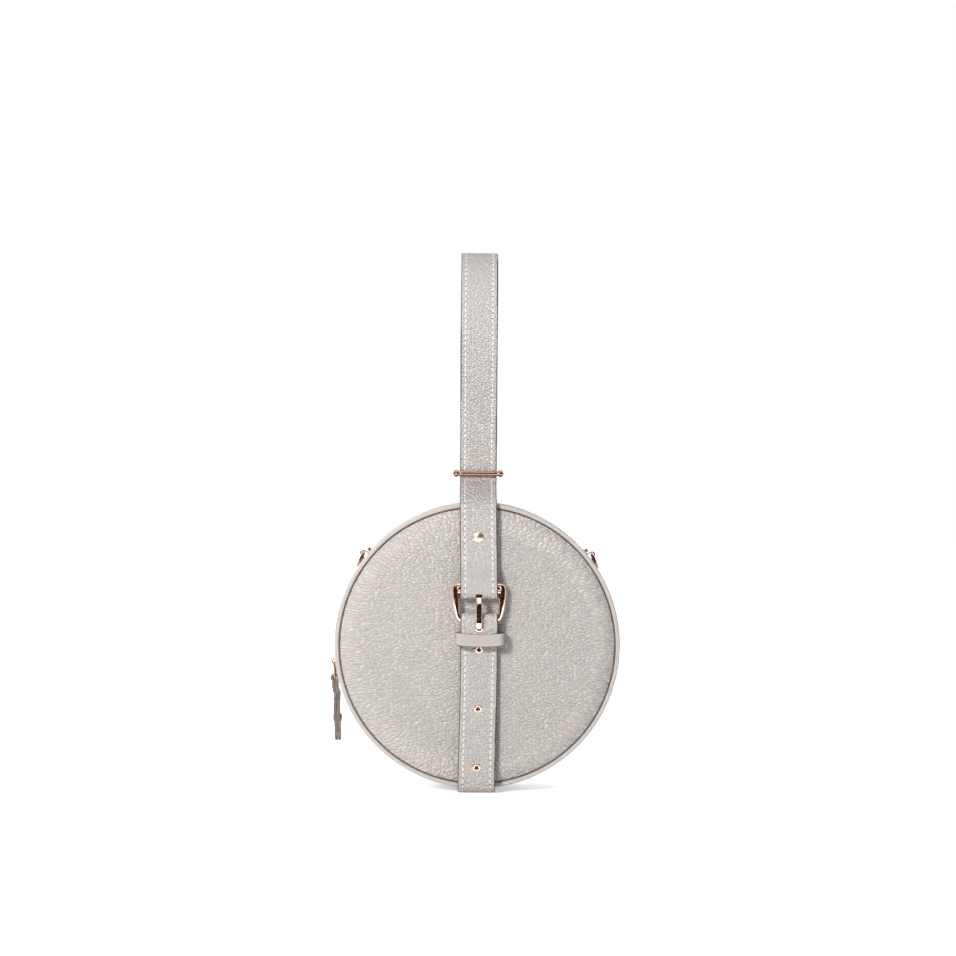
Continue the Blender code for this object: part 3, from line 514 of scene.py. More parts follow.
def paint_and_shade_material():
    """Edge paint and seam edges: a matt dark film over raw leather, with faint brush ripples. The
    same dark is partly painted shade in the seam's groove and under the keeper, and is painted
    shade in the needle holes.
    """
    material, tree, shader = new_material("edge_paint_and_shade", {"Specular IOR Level": 0.4})
    place = tree.place()
    ripple = place.noise(900.0)
    toned = place.noise(110.0, 3.0).between(0.4, 0.75).blend(tint(paint_and_shade_tone), tint(paint_and_shade_tone, 1.45))
    give_finish(shader, toned, 0.42 + ripple * 0.2, ripple, 0.00005)
    return material


edge_paint_and_shade = paint_and_shade_material()
piping_leather = leather_material("piping_leather", piping_tone, crease_tone, 0.0012, 0.00006,
                                  0.40, 0.5)
piping_middle = (body_radius - piping_radius, piping_forward)
cord_section = piping_middle + piping_radius * rounded_square(piping_squareness, 24)
for side, front in both_faces.items():
    cord = drum_strip(cord_section, *whole_turn, 540, piping_swell, 1.1 + front, gather_depth,
                      front)
    dress(side + "_piping_cord", cord, [piping_leather], "bag_body", [side + "_piping"])
    # The dark ring in the seam: the edge's own paint and painted shade of the groove.
    seam = drum_strip(flat_band(welt_radii, welt_forwards), *whole_turn, 360, front=front)
    dress(side + "_seam_edge_and_shade", seam, [edge_paint_and_shade], "bag_body", [side + "_welt"])


# The gusset: one strip of leather under the bag, and a narrower one on each side of the zip with
# its edge turned under. All are a little crowned and drawn down at the piping by the seam.

zip_ends = (-11.0, 191.0)
gusset_half = 0.0207
gusset_edge = 0.0942
gusset_crown = 0.0016
gusset_level_share = 0.35
gusset_fullness = 2.2
gusset_rise_at_zip = 0.0014
rise_width = 0.006
gusset_thickness = 0.0022
gusset_swell = 0.00012
zip_gusset_swell = 0.00007
opening_half = 0.0046
turned_edge_round = 0.0010
gusset_join = 0.18


def crowned(forward):
    """Radius of the gusset's outside: level over its inner share, then falling to its edge."""
    fall = (np.abs(forward) / gusset_half - gusset_level_share) / (1 - gusset_level_share)
    return gusset_edge + gusset_crown * (1 - np.maximum(fall, 0) ** gusset_fullness)


def gusset_section(low, high, count, turned_low):
    """Outside points from one forward distance to another, then the inside ones back; where the
    low edge is turned under, it is a half round as thick as the strip."""
    forward = np.linspace(low, high, count)
    outer = crowned(forward)
    if turned_low:
        ease = np.clip((forward - low) / turned_edge_round, 0, 1)
        drop = gusset_crown - gusset_rise_at_zip
        outer = outer - drop * np.clip(1 - (forward - low) / rise_width, 0, 1)
        outer = outer - turned_edge_round * (1 - np.sqrt(1 - (1 - ease) ** 2))
    outside = np.stack([outer, forward], -1)
    inside = np.stack([crowned(forward[::-3]) - gusset_thickness, forward[::-3]], -1)
    if turned_low:
        inside[-1, 0] += turned_edge_round / 2
    return np.concatenate([outside, inside])


gusset_leather = leather_material("gusset_leather", leather_tone, crease_tone, 0.0017, 0.00065)
lower = drum_strip(gusset_section(-gusset_half, gusset_half, 34, False), zip_ends[1] + gusset_join,
                   360 + zip_ends[0] - gusset_join, 260, gusset_swell, 0.4)
dress("lower_gusset_leather", lower, [gusset_leather], "bag_body", ["lower_gusset"])
for side, front in both_faces.items():
    half = drum_strip(gusset_section(opening_half, gusset_half, 46, True), *zip_ends, 320,
                      zip_gusset_swell, 2.0 + front, front=front)
    dress(side + "_zip_gusset", half, [gusset_leather], "bag_body", ["zip_gusset_" + side])


# The linings: a plain woven cloth glued inside the panels and the gusset. Only the zip's slit
# lets it be seen.

lining_gap_tone = (0.20, 0.175, 0.155)
lining_thread_tone = (0.38, 0.34, 0.30)


def lining_material():
    """Fine plain weave: crossing threads 0.35 mm wide, darker between them."""
    material, tree, shader = new_material("lining_cloth", {"Sheen Weight": 0.2})
    place = tree.place()
    cloth = tree.maths("MAXIMUM", place.threads("X", 450.0, 0.3), place.threads("Z", 450.0, 0.3))
    toned = cloth.blend(tint(lining_gap_tone), tint(lining_thread_tone))
    give_finish(shader, toned, 0.95 - cloth * 0.15, cloth, 0.0001)
    return material


lining = lining_material()
for node in ("front_lining", "rear_lining", "gusset_lining"):
    for held in frame["nodes"][node].material_slots:
        held.material = lining


# The zip: two woven tapes and two rows of rose gold teeth, each tooth clamped over its tape's
# edge, the rows half a pitch apart so that they mesh.

tape_radii = (0.0924, 0.0931)
tape_edges = (0.0010, 0.0120)
tape_swell = 0.00003
tooth_base = 0.0934
tooth_pitch = 0.0025
tooth_size = (0.00062, 0.00150, 0.00085)
tooth_middle = 0.00165
tape_shade_tone = (0.27, 0.235, 0.21)
tape_rib_tone = (0.46, 0.415, 0.38)
gold_tone = (0.93, 0.69, 0.55)
# A darker copy of the gold tone: painted shade for the small metal pieces, standing for the dark
# studio they mirror.
shaded_gold_tone = (0.44, 0.26, 0.20)


def tape_material():
    """Twill tape: fine slanting ribs of thread that follow the tape, a little fuzzy."""
    material, tree, shader = new_material("tape_cloth", {"Sheen Weight": 0.25})
    flat = tree.node("ShaderNodeUVMap", {"uv_map": "skin"})
    ribs = flat.threads("DIAGONAL", 520.0, 0.4)
    fuzz = flat.noise(1500.0)
    toned = (ribs * 0.7 + fuzz * 0.3).blend(tint(tape_shade_tone), tint(tape_rib_tone))
    give_finish(shader, toned, 0.9 - fuzz * 0.2, ribs, 0.0001)
    return material


def gold_material(name="rose_gold", brushed=0.0, tone=gold_tone):
    """Plated rose gold of a tone: polished, or rougher where brushed, with a trace of wear that
    dulls it. A darker tone gives a copy with painted shade.
    """
    material, tree, shader = new_material(name, {"Metallic": 1.0})
    wear = tree.place().noise(260.0, 4.0)
    toned = wear.between(0.45, 0.8).blend(tint(tone), tint(tone, 0.86))
    give_finish(shader, toned, 0.07 + brushed + wear.between(0.4, 0.8) * 0.06)
    return material


def repeated(small, centres, ahead, out):
    """Many copies of one small closed shape in one mesh. Each point of the shape, in lengths
    ahead, sideways and outwards, is laid off from its centre along those three directions."""
    points, faces = small
    side = np.cross(out, ahead)
    spots = (centres[:, None] + points[None, :, :1] * ahead[:, None]
             + points[None, :, 1:2] * side[:, None] + points[None, :, 2:] * out[:, None])
    step = np.arange(len(centres))[:, None, None] * len(points)
    mesh = bpy.data.meshes.new("copies")
    mesh.from_pydata(spots.reshape(-1, 3).tolist(), [],
                     (faces[None] + step).reshape(-1, faces.shape[1]).tolist())
    return mesh


def pillow(half_length, half_width, half_height, rings, sides, fullness=2.0):
    """Closed rounded bead on a grid: points of a sphere, each axis stretched to its half size and
    squared up by the fullness (2 is round, more is boxier). Returns its points and quads."""
    tall = np.linspace(0, math.pi, rings + 1)[:, None]
    turn = full_turn(sides)[None, :]
    ball = np.stack(np.broadcast_arrays(np.cos(tall), np.sin(tall) * np.cos(turn),
                                        np.sin(tall) * np.sin(turn)), -1).reshape(-1, 3)
    boxy = np.sum(np.abs(ball) ** fullness, axis=1, keepdims=True) ** (-1 / fullness)
    i, j = np.meshgrid(np.arange(rings), np.arange(sides), indexing="ij")
    quads = np.stack([i * sides + j, (i + 1) * sides + j, (i + 1) * sides + (j + 1) % sides,
                      i * sides + (j + 1) % sides], -1).reshape(-1, 4)
    return ball * boxy * np.array([half_length, half_width, half_height]), quads


tape_cloth = tape_material()
rose_gold = gold_material()
zip_gold = gold_material("zip_gold", 0.12)
satin_gold = gold_material("satin_gold", 0.20)
# The darker gold is painted shade on the loop, studs, rings, bridge, link and tab rivet.
shaded_gold = gold_material("shaded_gold", 0.04, shaded_gold_tone)
for side, front, shift in (("front", 1, 0.25), ("rear", -1, 0.75)):
    tape = drum_strip(flat_band(tape_radii, tape_edges), *zip_ends, 240, tape_swell, 0.9,
                      front=front)
    dress(side + "_tape", tape, [tape_cloth], "bag_body", ["zip_tape_" + side])
    count = int(math.radians(zip_ends[1] - zip_ends[0]) * tooth_base / tooth_pitch)
    turn = np.radians(zip_ends[0]) + (np.arange(count) + shift) * tooth_pitch / tooth_base
    up = np.stack([np.cos(turn), 0 * turn, np.sin(turn)], -1)
    middle = up * (tooth_base + tooth_size[2]) + [0, -front * tooth_middle, drum_height]
    along = np.stack([-np.sin(turn), 0 * turn, np.cos(turn)], -1)
    teeth = close_mesh(repeated(pillow(*tooth_size, 5, 8, 5.0), middle, along, up))
    dress(side + "_teeth", teeth, [zip_gold], "bag_body", ["zip_teeth_" + side])


# The straps: strips of the same leather, doubled and sewn along both edges, whose cut edges are
# painted dark. The upper one is turned back round the buckle's pivot bar, the long one runs down
# the back, under the bag, up the front and over the buckle's lower bar.

strap_half_width = 0.0125
strap_half_thick = 0.00115
edge_round = 0.00095
paint_share = 0.80
stitch_inset = 0.0034
stitch_groove = 0.00030
groove_width = 0.00045
groove_columns = (-0.0013, -0.0007, -0.00035, 0.0, 0.00035, 0.0007, 0.0013)
inmost_column = 0.001
groove_margin = 0.0022
strap_lift = 0.00006
strap_sway = 0.00010
lift_length = 0.012
sway_length = 0.016
strap_bend_angle = 0.11
strap_step = 0.0015
straight_angle = 0.001
least_step = 1e-9
lean_most = 0.0013
lean_top = 0.208
# Forward distances of the middle of each layer of strap, from the panel outwards.
pinch_forward = 0.00135
under_layer = 0.03045
lower_layer = 0.03245
upper_layer = 0.03305
end_layer = 0.03875
outer_layer = 0.03985
# Heights at which the straps bend, fold and end.
sole_height = 0.00115
loop_height = 0.2140
waist_height = 0.2087
upper_shoulder_height = 0.1826
back_shoulder_height = 0.1816
fold_start_height = 0.14245
fold_end_height = 0.15295
turned_end_height = 0.1800
pivot_height = 0.1354
fold_middle = 0.03615
fold_radius = 0.0037
lower_bar_height = 0.1164
frame_forward = 0.0356
lower_fold_radius = 0.00315
free_end = 0.0986
# Radii of their bends, and the shoulder as (forward, height, radius).
waist_bend = 0.0055
wide_bend = 0.010
fold_bend = 0.008
sole_bend = 0.0095
shoulder = (0.0282, 0.1938, wide_bend)
# What is punched and sewn: the slot as (forward, height), the eyelets as (height, forward).
prong_slot_half = 0.0021
prong_slot = ((0.0300, 0.1260), (0.0440, 0.1260), (0.0440, 0.1330), (0.0411, 0.1337),
              (0.0386, 0.1347), (0.0384, 0.1347), (0.0384, 0.1388), (0.0300, 0.1388))
eyelet_places = ((0.1111, end_layer), (0.0967, lower_layer), (0.0571, lower_layer),
                 (0.0178, lower_layer))
eyelet_hole_radius = 0.0021
eyelet_hole_half = 0.0022
stitch_pitch = 0.0039
stitch_start = 0.006
upper_stitch_stop = 0.002
long_stitch_stop = 0.0455
stitch_slant = 0.10
thread_size = (0.00148, 0.00050, 0.00036)
# Size of the dark dot of painted shade at each needle hole.
hole_shade_size = (0.00040, 0.00040, 0.00012)
thread_tone = (0.93, 0.92, 0.90)
thread_shade_tone = (0.82, 0.80, 0.77)
# Bands where the strap's grain is pressed flat and painted shade darkens it: at the buckle's fold
# and over the handle's top.
calm_heights = ((0.120, 0.130, 0.146, 0.168), (0.300, 0.355, 0.900, 0.950))


def bent_path(corners):
    """Side-view path through (forward, height, bend radius) corners: straight runs joined by
    arcs that touch both of their sides."""
    spots = np.array([c[:2] for c in corners], dtype=float)
    pieces = [spots[:1]]
    for k in range(1, len(corners) - 1):
        back = spots[k - 1] - spots[k]
        ahead = spots[k + 1] - spots[k]
        back, ahead = back / np.hypot(*back), ahead / np.hypot(*ahead)
        half = (math.pi - math.acos(np.clip(back @ ahead, -1, 1))) / 2
        if half < straight_angle:
            continue
        middle = back + ahead
        centre = spots[k] + middle / np.hypot(*middle) * corners[k][2] / math.cos(half)
        start = spots[k] + back * corners[k][2] * math.tan(half) - centre
        turning = 1 if back[1] * ahead[0] > back[0] * ahead[1] else -1
        angle = turning * np.linspace(0, 2 * half, 25)
        pieces.append(centre + np.stack([start[0] * np.cos(angle) - start[1] * np.sin(angle),
                                         start[0] * np.sin(angle) + start[1] * np.cos(angle)], -1))
    return np.concatenate([*pieces, spots[-1:]])


def arc(middle, radius, start, end, count):
    """Points of an arc about a middle, from one angle in degrees to another."""
    turn = np.radians(np.linspace(start, end, count))
    return middle + radius * np.stack([np.cos(turn), np.sin(turn)], -1)


def spaced(path, straight=strap_step, bend=strap_bend_angle):
    """The path sampled again, close where it bends and wide where it is straight: equal steps of
    length over the straight step plus turning over the bend angle."""
    step = np.diff(path, axis=0)
    path = path[np.concatenate([[True], np.hypot(*step.T) > least_step])]
    step = np.diff(path, axis=0)
    length = np.hypot(*step.T)
    heading = np.unwrap(np.arctan2(step[:, 1], step[:, 0]))
    turning = np.abs(np.diff(heading, prepend=heading[0]))
    at = np.concatenate([[0], np.cumsum(length / straight + turning / bend)])
    even = np.linspace(0, at[-1], int(at[-1]) + 2)
    return np.stack([np.interp(even, at, path[:, 0]), np.interp(even, at, path[:, 1])], -1)


def headings(path, closed=False):
    """Direction and left-hand side of a path at each point."""
    if closed:
        ahead = np.roll(path, -1, axis=0) - np.roll(path, 1, axis=0)
    else:
        ahead = np.gradient(path, axis=0)
    ahead = ahead / np.hypot(*ahead.T)[:, None]
    return ahead, np.stack([-ahead[:, 1], ahead[:, 0]], -1)


def lean(height):
    """Sideways lie of the front straps: full to the right half way up, none at their ends, as
    the 1.5th power of a half sine of the height."""
    share = np.clip(np.asarray(height) / lean_top, 0, 1)
    return lean_most * np.abs(np.sin(math.pi * share)) ** 1.5


def rows_of(elements, value):
    """A value of three numbers of a mesh's points or faces, one row for each."""
    rows = np.zeros(len(elements) * 3)
    elements.foreach_get(value, rows)
    return rows.reshape(-1, 3)


def mark_faces(mesh, marks):
    """Gives each face the place of its material."""
    mesh.polygons.foreach_set("material_index", np.asarray(marks).astype(np.int32))


def leant(mesh):
    """The mesh with its front half moved sideways by the lean at each height."""
    spots = rows_of(mesh.vertices, "co")
    spots[:, 0] += lean(spots[:, 2]) * (spots[:, 1] < 0)
    mesh.vertices.foreach_set("co", spots.ravel())
    mesh.update()
    return mesh


def strap_section():
    """Outline of the strap's section as (width, height) points: flat between two sewn grooves,
    each a bell curve deep, with edges of a quarter round that carry the paint."""
    inner = strap_half_width - stitch_inset
    turn = np.linspace(0, math.pi / 2, 6)
    right = np.concatenate([np.linspace(inmost_column, inner - groove_margin, 5),
                            inner + np.array(groove_columns)])
    flat = np.concatenate([-right[::-1], right])
    groove = np.exp(-((np.abs(flat) - inner) / groove_width) ** 2)
    height = strap_half_thick - stitch_groove * groove
    rim = strap_half_width - edge_round + edge_round * np.sin(turn)
    fall = strap_half_thick - edge_round + edge_round * np.cos(turn)
    upper = np.stack([np.concatenate([-rim[::-1], flat, rim]),
                      np.concatenate([fall[::-1], height, fall])], -1)
    return np.concatenate([upper, upper[::-1] * [1, -1]])


def strap_mesh(path, seed):
    """Section carried along a side-view path: x is the width, and the height in the section goes
    along the path's left-hand side. Slow waves lift both faces together."""
    section = strap_section()
    columns, heights = section.T
    length = run(path)
    _, left = headings(path)
    lift = heights + strap_lift * waves(length[:, None], columns[None, :], seed, lift_length)
    sway = strap_sway * waves(length, 0 * length, seed + 2, sway_length)
    spots = np.stack([columns[None, :] + sway[:, None] + 0 * lift,
                      -(path[:, :1] + left[:, :1] * lift), path[:, 1:] + left[:, 1:] * lift], -1)
    skin = laid_flat(length, run(section, closed=True))[..., ::-1]
    mesh = skin_mesh(spots, skin, loop=True, capped=True)
    aside = np.abs(rows_of(mesh.polygons, "center")[:, 0])
    painted = aside > strap_half_width - paint_share * edge_round
    painted[-2:] = True
    mark_faces(mesh, painted)
    for material in (strap_leather, edge_paint_and_shade):
        mesh.materials.append(material)
    return mesh


def sewn(path, faces, start, stop, pitch=stitch_pitch):
    """Two rows of stitches on the named faces of a strap, 1 for its left-hand side and -1 for
    its right: beads of thread an even pitch apart along the path, with a dark dot of painted
    shade after each where the needle hole is."""
    length = run(path)
    at = np.arange(start, length[-1] - stop, pitch)
    spot, along, side = (np.stack([np.interp(at, length, part[:, k]) for k in (0, 1)], -1)
                         for part in (path, *headings(path)))
    centres, forwards, outs = [], [], []
    for face in faces:
        lift = strap_half_thick - stitch_groove + 0.5 * thread_size[2]
        place = spot + face * lift * side
        for row in (-1, 1):
            x = np.full(len(at), row * (strap_half_width - stitch_inset))
            centres.append(np.stack([x, -place[:, 0], place[:, 1]], -1))
            slant = stitch_slant * row * face
            forwards.append(np.stack([0 * x + slant, -along[:, 0], along[:, 1]], -1))
            outs.append(np.stack([0 * x, -face * side[:, 0], face * side[:, 1]], -1))
    bead, bead_faces = pillow(*thread_size, 6, 6, 2.6)
    # Each hole is a small flat dark bead: painted shade of the needle hole.
    hole, hole_shade_faces = pillow(*hole_shade_size, 4, 6)
    hole = hole + [pitch / 2, 0, -0.5 * thread_size[2]]
    both = (np.concatenate([bead, hole]), np.concatenate([bead_faces, hole_shade_faces + len(bead)]))
    mesh = repeated(both, *(np.concatenate(rows) for rows in (centres, forwards, outs)))
    mark_faces(mesh, np.tile(np.repeat([0, 1], [len(bead_faces), len(hole_shade_faces)]),
                             len(at) * 2 * len(faces)))
    return close_mesh(mesh)


def thread_material():
    """Waxed cotton thread: pale, with the twist of its plies across each stitch."""
    material, tree, shader = new_material("waxed_thread", {})
    twist = tree.place().threads("DIAGONAL", 700.0)
    toned = twist.blend(tint(thread_shade_tone), tint(thread_tone))
    give_finish(shader, toned, 0.5 + twist * 0.15, twist, 0.00008)
    return material


def punch(ring, shift):
    """Closed block between a ring of places and the same ring moved by a shift."""
    grid = np.stack([ring, ring + np.array(shift)])
    return skin_mesh(grid, np.zeros((2, len(ring) + 1, 2)), loop=True, capped=True, sharp=30.0)


def carve(mesh, tools):
    """The strap's mesh with the tools' space cut out of it; the cut walls are painted."""
    body = bpy.data.objects.new("carved", mesh)
    cutters = bpy.data.collections.new("cutters")
    for tool in tools:
        mark_faces(tool, np.ones(len(tool.polygons)))
        cutters.objects.link(bpy.data.objects.new("cutter", tool))
        for material in (strap_leather, edge_paint_and_shade):
            tool.materials.append(material)
    bpy.context.collection.objects.link(body)
    bpy.context.scene.collection.children.link(cutters)
    cutting = body.modifiers.new("cut", "BOOLEAN")
    cutting.operation = "DIFFERENCE"
    cutting.solver = "MANIFOLD"
    cutting.operand_type = "COLLECTION"
    cutting.collection = cutters
    bpy.context.view_layer.update()
    view = bpy.context.evaluated_depsgraph_get()
    carved = bpy.data.meshes.new_from_object(body.evaluated_get(view))
    for piece in (body, *cutters.objects):
        bpy.data.objects.remove(piece, do_unlink=True)
    bpy.data.collections.remove(cutters)
    return carved


upper_corners = ((pinch_forward, loop_height), (pinch_forward, waist_height, waist_bend), shoulder,
                 (upper_layer, upper_shoulder_height, wide_bend),
                 (upper_layer, fold_end_height, fold_bend),
                 (outer_layer, fold_start_height, fold_bend), (outer_layer, pivot_height))
turned_corners = ((lower_layer, pivot_height), (lower_layer, fold_start_height, fold_bend),
                  (under_layer, fold_end_height, fold_bend), (under_layer, turned_end_height))
upper_path = spaced(np.concatenate([bent_path(upper_corners),
                                    arc((fold_middle, pivot_height), fold_radius, 0, -180, 41),
                                    bent_path(turned_corners)]))
long_corners = ((-pinch_forward, loop_height), (-pinch_forward, waist_height, waist_bend),
                (-shoulder[0], *shoulder[1:]), (-under_layer, back_shoulder_height, wide_bend),
                (-under_layer, sole_height, fold_bend), (lower_layer, sole_height, sole_bend),
                (lower_layer, lower_bar_height))
lower_bar = (frame_forward, lower_bar_height)
long_path = spaced(np.concatenate([bent_path(long_corners),
                                   arc(lower_bar, lower_fold_radius, 180, 0, 41),
                                   [(end_layer, free_end)]]))
strap_leather = leather_material("strap_leather", leather_tone, crease_tone, 0.0016, 0.00095,
                                 calm_heights=calm_heights)
thread = thread_material()

slot_ring = np.array([(lean(pivot_height) - prong_slot_half, -f, z) for f, z in prong_slot])
slot_block = punch(slot_ring, (2 * prong_slot_half, 0, 0))
dress("upper_strap_leather", carve(leant(strap_mesh(upper_path, 3.1)), [slot_block]), [],
      "bag_body", ["upper_strap"])
hole_blocks = []
for height, layer in eyelet_places:
    ring = arc((lean(height), height), eyelet_hole_radius, 0, 345, 24)
    ring = np.insert(ring, 1, eyelet_hole_half - layer, axis=1)
    hole_blocks.append(punch(ring, (0, -2 * eyelet_hole_half, 0)))
dress("long_strap_leather", carve(leant(strap_mesh(long_path, 5.2)), hole_blocks), [],
      "bag_body", ["long_strap"])
for name, path, face, stop in (("upper_strap_stitches", upper_path, 1, upper_stitch_stop),
                               ("long_strap_stitches", long_path, -1, long_stitch_stop)):
    dress(name, leant(sewn(path, [face], stitch_start, stop)), [thread, edge_paint_and_shade], "bag_body",
          [])


# The handle: the same strap, doubled into a tall drop between the two sides of the sliding loop.

handle_half_depth = 0.0290
handle_top = 0.3643
handle_foot = 0.2141
fold_height = 0.2187
widest_share = 0.70
lower_bow_shares = (0.45, 0.60)
upper_bow_share = 0.56
handle_stitch_pitch = 0.00365
handle_stitch_ends = 0.004


def cubic(corners):
    """Cubic curve through four control places."""
    t = np.linspace(0, 1, 61)[:, None]
    a, b, c, d = (np.array(place) for place in corners)
    return a * (1 - t) ** 3 + 3 * b * t * (1 - t) ** 2 + 3 * c * t ** 2 * (1 - t) + d * t ** 3


top = handle_top - strap_half_thick
widest_forward = handle_half_depth - strap_half_thick
widest_height = fold_height + widest_share * (top - fold_height)
fold_heights = [fold_height + share * (widest_height - fold_height) for share in lower_bow_shares]
top_bow = widest_height + upper_bow_share * (top - widest_height)
front_side = np.concatenate([
    [(pinch_forward, handle_foot)],
    cubic([(pinch_forward, fold_height), (pinch_forward, fold_heights[0]),
           (widest_forward, fold_heights[1]), (widest_forward, widest_height)]),
    cubic([(widest_forward, widest_height), (widest_forward, top_bow),
           (upper_bow_share * widest_forward, top), (0.0, top)])])
handle_path = spaced(np.concatenate([front_side, front_side[-2::-1] * [-1, 1]]))
handle = dress("handle_leather", strap_mesh(handle_path, 7.7), [], None, ["handle_strap"])
handle_sewing = sewn(handle_path, [1, -1], handle_stitch_ends, handle_stitch_ends,
                     handle_stitch_pitch)
handle_stitches = dress("handle_stitches", handle_sewing, [thread, edge_paint_and_shade], None, [])
for piece in (handle, handle_stitches):
    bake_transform(piece)


# The sliding loop: one rod bent into a long flat link round both sides of the strap. It is
# waisted beside the strap and swells at its ends, and is cast and plated in rose gold.

rod_forward = 0.0047
rod_radius = 0.0019
rod_waist = 0.00155
rod_waist_place = 0.0128
rod_waist_width = 0.0010
rod_end = 0.0024
rod_end_middle = 0.0154
rod_end_start = 0.0142
rod_end_rise = 0.00022
rod_bend = 0.0016
wire_step = 0.0005
wire_bend_angle = 0.12
metal_skin = 0.01
ACROSS, FORWARD, UP = np.eye(3) * [[1], [-1], [1]]


def wire(path, radii, origin, first, second, sides=14):
    """Round wire: a circle carried along a closed path that lies in the plane of two
    directions, the circle's radius given at each point of the path or once for all."""
    _, left = headings(path, closed=True)
    turn = full_turn(sides)[None, :, None]
    middle = np.outer(path[:, 0], first) + np.outer(path[:, 1], second) + origin
    aside = np.outer(left[:, 0], first) + np.outer(left[:, 1], second)
    thick = np.broadcast_to(radii, len(path))[:, None, None]
    spots = (middle[:, None] + thick * np.cos(turn) * aside[:, None]
             + thick * np.sin(turn) * np.cross(first, second))
    skin = laid_flat(run(path, closed=True), np.linspace(0, metal_skin, sides + 1))
    return skin_mesh(spots, skin, ring=True, loop=True)


def closed_bend(half_wide, low, high, low_bend, high_bend, step=wire_step, angle=wire_bend_angle):
    """Closed path round a rectangle with bent corners, from the middle of its low side."""
    corners = ((0, low), (half_wide, low, low_bend), (half_wide, high, high_bend),
               (-half_wide, high, high_bend), (-half_wide, low, low_bend), (0, low))
    return spaced(bent_path(corners), step, angle)[:-1]


rod_path = closed_bend(rod_end_middle, -rod_forward, rod_forward, rod_bend, rod_bend)
wide = np.abs(rod_path[:, 0])
waist = np.exp(-((wide - rod_waist_place) / rod_waist_width) ** 2) * (rod_radius - rod_waist)
swell = (rod_end - rod_radius) / (1 + np.exp(-(wide - rod_end_start) / rod_end_rise))
loop_mesh = wire(rod_path, rod_radius - waist + swell, (0, 0, loop_height), ACROSS, FORWARD, 18)
dress("sliding_loop", loop_mesh, [shaded_gold], "bag_body", ["handle_loop"])


# The buckle: a cast frame, half round in front and flat behind, broad at the top and drawn in at
# the bottom, with a straight pivot bar across it.

frame_top = 0.1412
frame_bottom = 0.1149
frame_half = 0.0182
frame_inner_half = 0.0128
inner_corner = 0.002
inner_corner_cut = 0.0006
bar_radius = 0.0015
frame_steps = 240
frame_rise = 1.65
frame_back_share = 0.96
frame_side_shares = ((0.0, 0.0), (0.66, 0.0), (0.82, 0.012), (0.93, 0.045), (0.985, 0.11),
                     (1.0, 0.21), (0.99, 0.38), (0.96, 0.58), (0.915, 0.74), (0.86, 0.87),
                     (0.79, 0.96), (0.68, 1.0), (0.0, 1.0))
buckle_middle = lean(pivot_height)
slanting = (0.36, 0.48, 0.8)


def read_round(side, turn):
    """Radius of an outline at even angles about the middle: its right side is mirrored, read
    between its points and smoothed over seven angles."""
    whole = np.concatenate([side, (side * [-1, 1])[::-1]])
    step = np.linspace(0, 1, 9)[:-1, None, None]
    dense = (whole * (1 - step) + np.roll(whole, -1, axis=0) * step)
    dense = dense.transpose(1, 0, 2).reshape(-1, 2)
    angle = np.arctan2(dense[:, 1], dense[:, 0])
    order = np.argsort(angle)
    radius = np.interp(turn, angle[order] % (2 * math.pi), np.hypot(*dense[order].T),
                       period=2 * math.pi)
    window = np.hanning(7) / np.hanning(7).sum()
    return np.convolve(np.concatenate([radius[-3:], radius, radius[:3]]), window, "valid")


def frame_mesh():
    """Loft between an outer and an inner outline, both read as a radius at each angle about the
    frame's middle. Between them the front rises as half an ellipse and the back lies flat."""
    turn = full_turn(frame_steps)
    middle = (frame_top + frame_bottom) / 2
    tall = frame_top - frame_bottom
    half_hole = tall / 2 - 2 * bar_radius
    right = [(frame_half * x, tall / 2 - tall * z) for x, z in frame_side_shares]
    corner = [(frame_inner_half - inner_corner, half_hole),
              (frame_inner_half - inner_corner_cut, half_hole - inner_corner_cut),
              (frame_inner_half, half_hole - inner_corner)]
    hole = [(0, half_hole), *corner, (frame_inner_half, 0.0),
            *((x, -z) for x, z in reversed(corner)), (0, -half_hole)]
    outer, inner = (read_round(np.array(side), turn)[:, None] for side in (right, hole))
    front = np.linspace(0, math.pi, 15)
    across = np.concatenate([np.cos(front), np.linspace(-frame_back_share, frame_back_share, 5)])
    lift = np.concatenate([np.sin(front) * frame_rise + 1 - frame_rise, np.full(5, -1.0)])
    radius = (outer + inner) / 2 + (outer - inner) / 2 * across[None, :]
    spots = np.broadcast_arrays(radius * np.cos(turn)[:, None] + buckle_middle,
                                -frame_forward - bar_radius * lift[None, :],
                                radius * np.sin(turn)[:, None] + middle)
    skin = laid_flat(np.linspace(0, 10 * metal_skin, frame_steps + 1),
                     np.linspace(0, metal_skin, 21))
    return skin_mesh(np.stack(spots, -1), skin, ring=True, loop=True, sharp=50.0)


def turned_piece(profile, origin, axis, sides=36):
    """Profile of (radius, height) points spun about an axis through a place. A profile that
    starts and ends on the axis closes there; any other is a closed outline."""
    axis = np.array(axis, dtype=float)
    side = np.cross(axis, slanting)
    side = side / np.linalg.norm(side)
    radius, height = np.array(profile, dtype=float).T[:, :, None, None]
    turn = full_turn(sides)[None, :, None]
    spots = (np.array(origin) + height * axis
             + radius * (np.cos(turn) * side + np.sin(turn) * np.cross(axis, side)))
    from_axis = profile[0][0] == 0
    rows = len(profile) + (0 if from_axis else 1)
    skin = laid_flat(np.linspace(0, metal_skin, rows), np.linspace(0, metal_skin, sides + 1))
    return skin_mesh(spots, skin, ring=not from_axis, loop=True, sharp=35.0)


dress("buckle_cast_frame", frame_mesh(), [rose_gold], "bag_body", ["buckle_frame"])
bar_reach = frame_inner_half + bar_radius
bar_profile = ((0, -bar_reach), (bar_radius, -bar_reach), (bar_radius, bar_reach), (0, bar_reach))
pivot_place = (buckle_middle, -frame_forward, pivot_height)
dress("buckle_pivot_bar", turned_piece(bar_profile, pivot_place, ACROSS), [rose_gold], "bag_body",
      [])


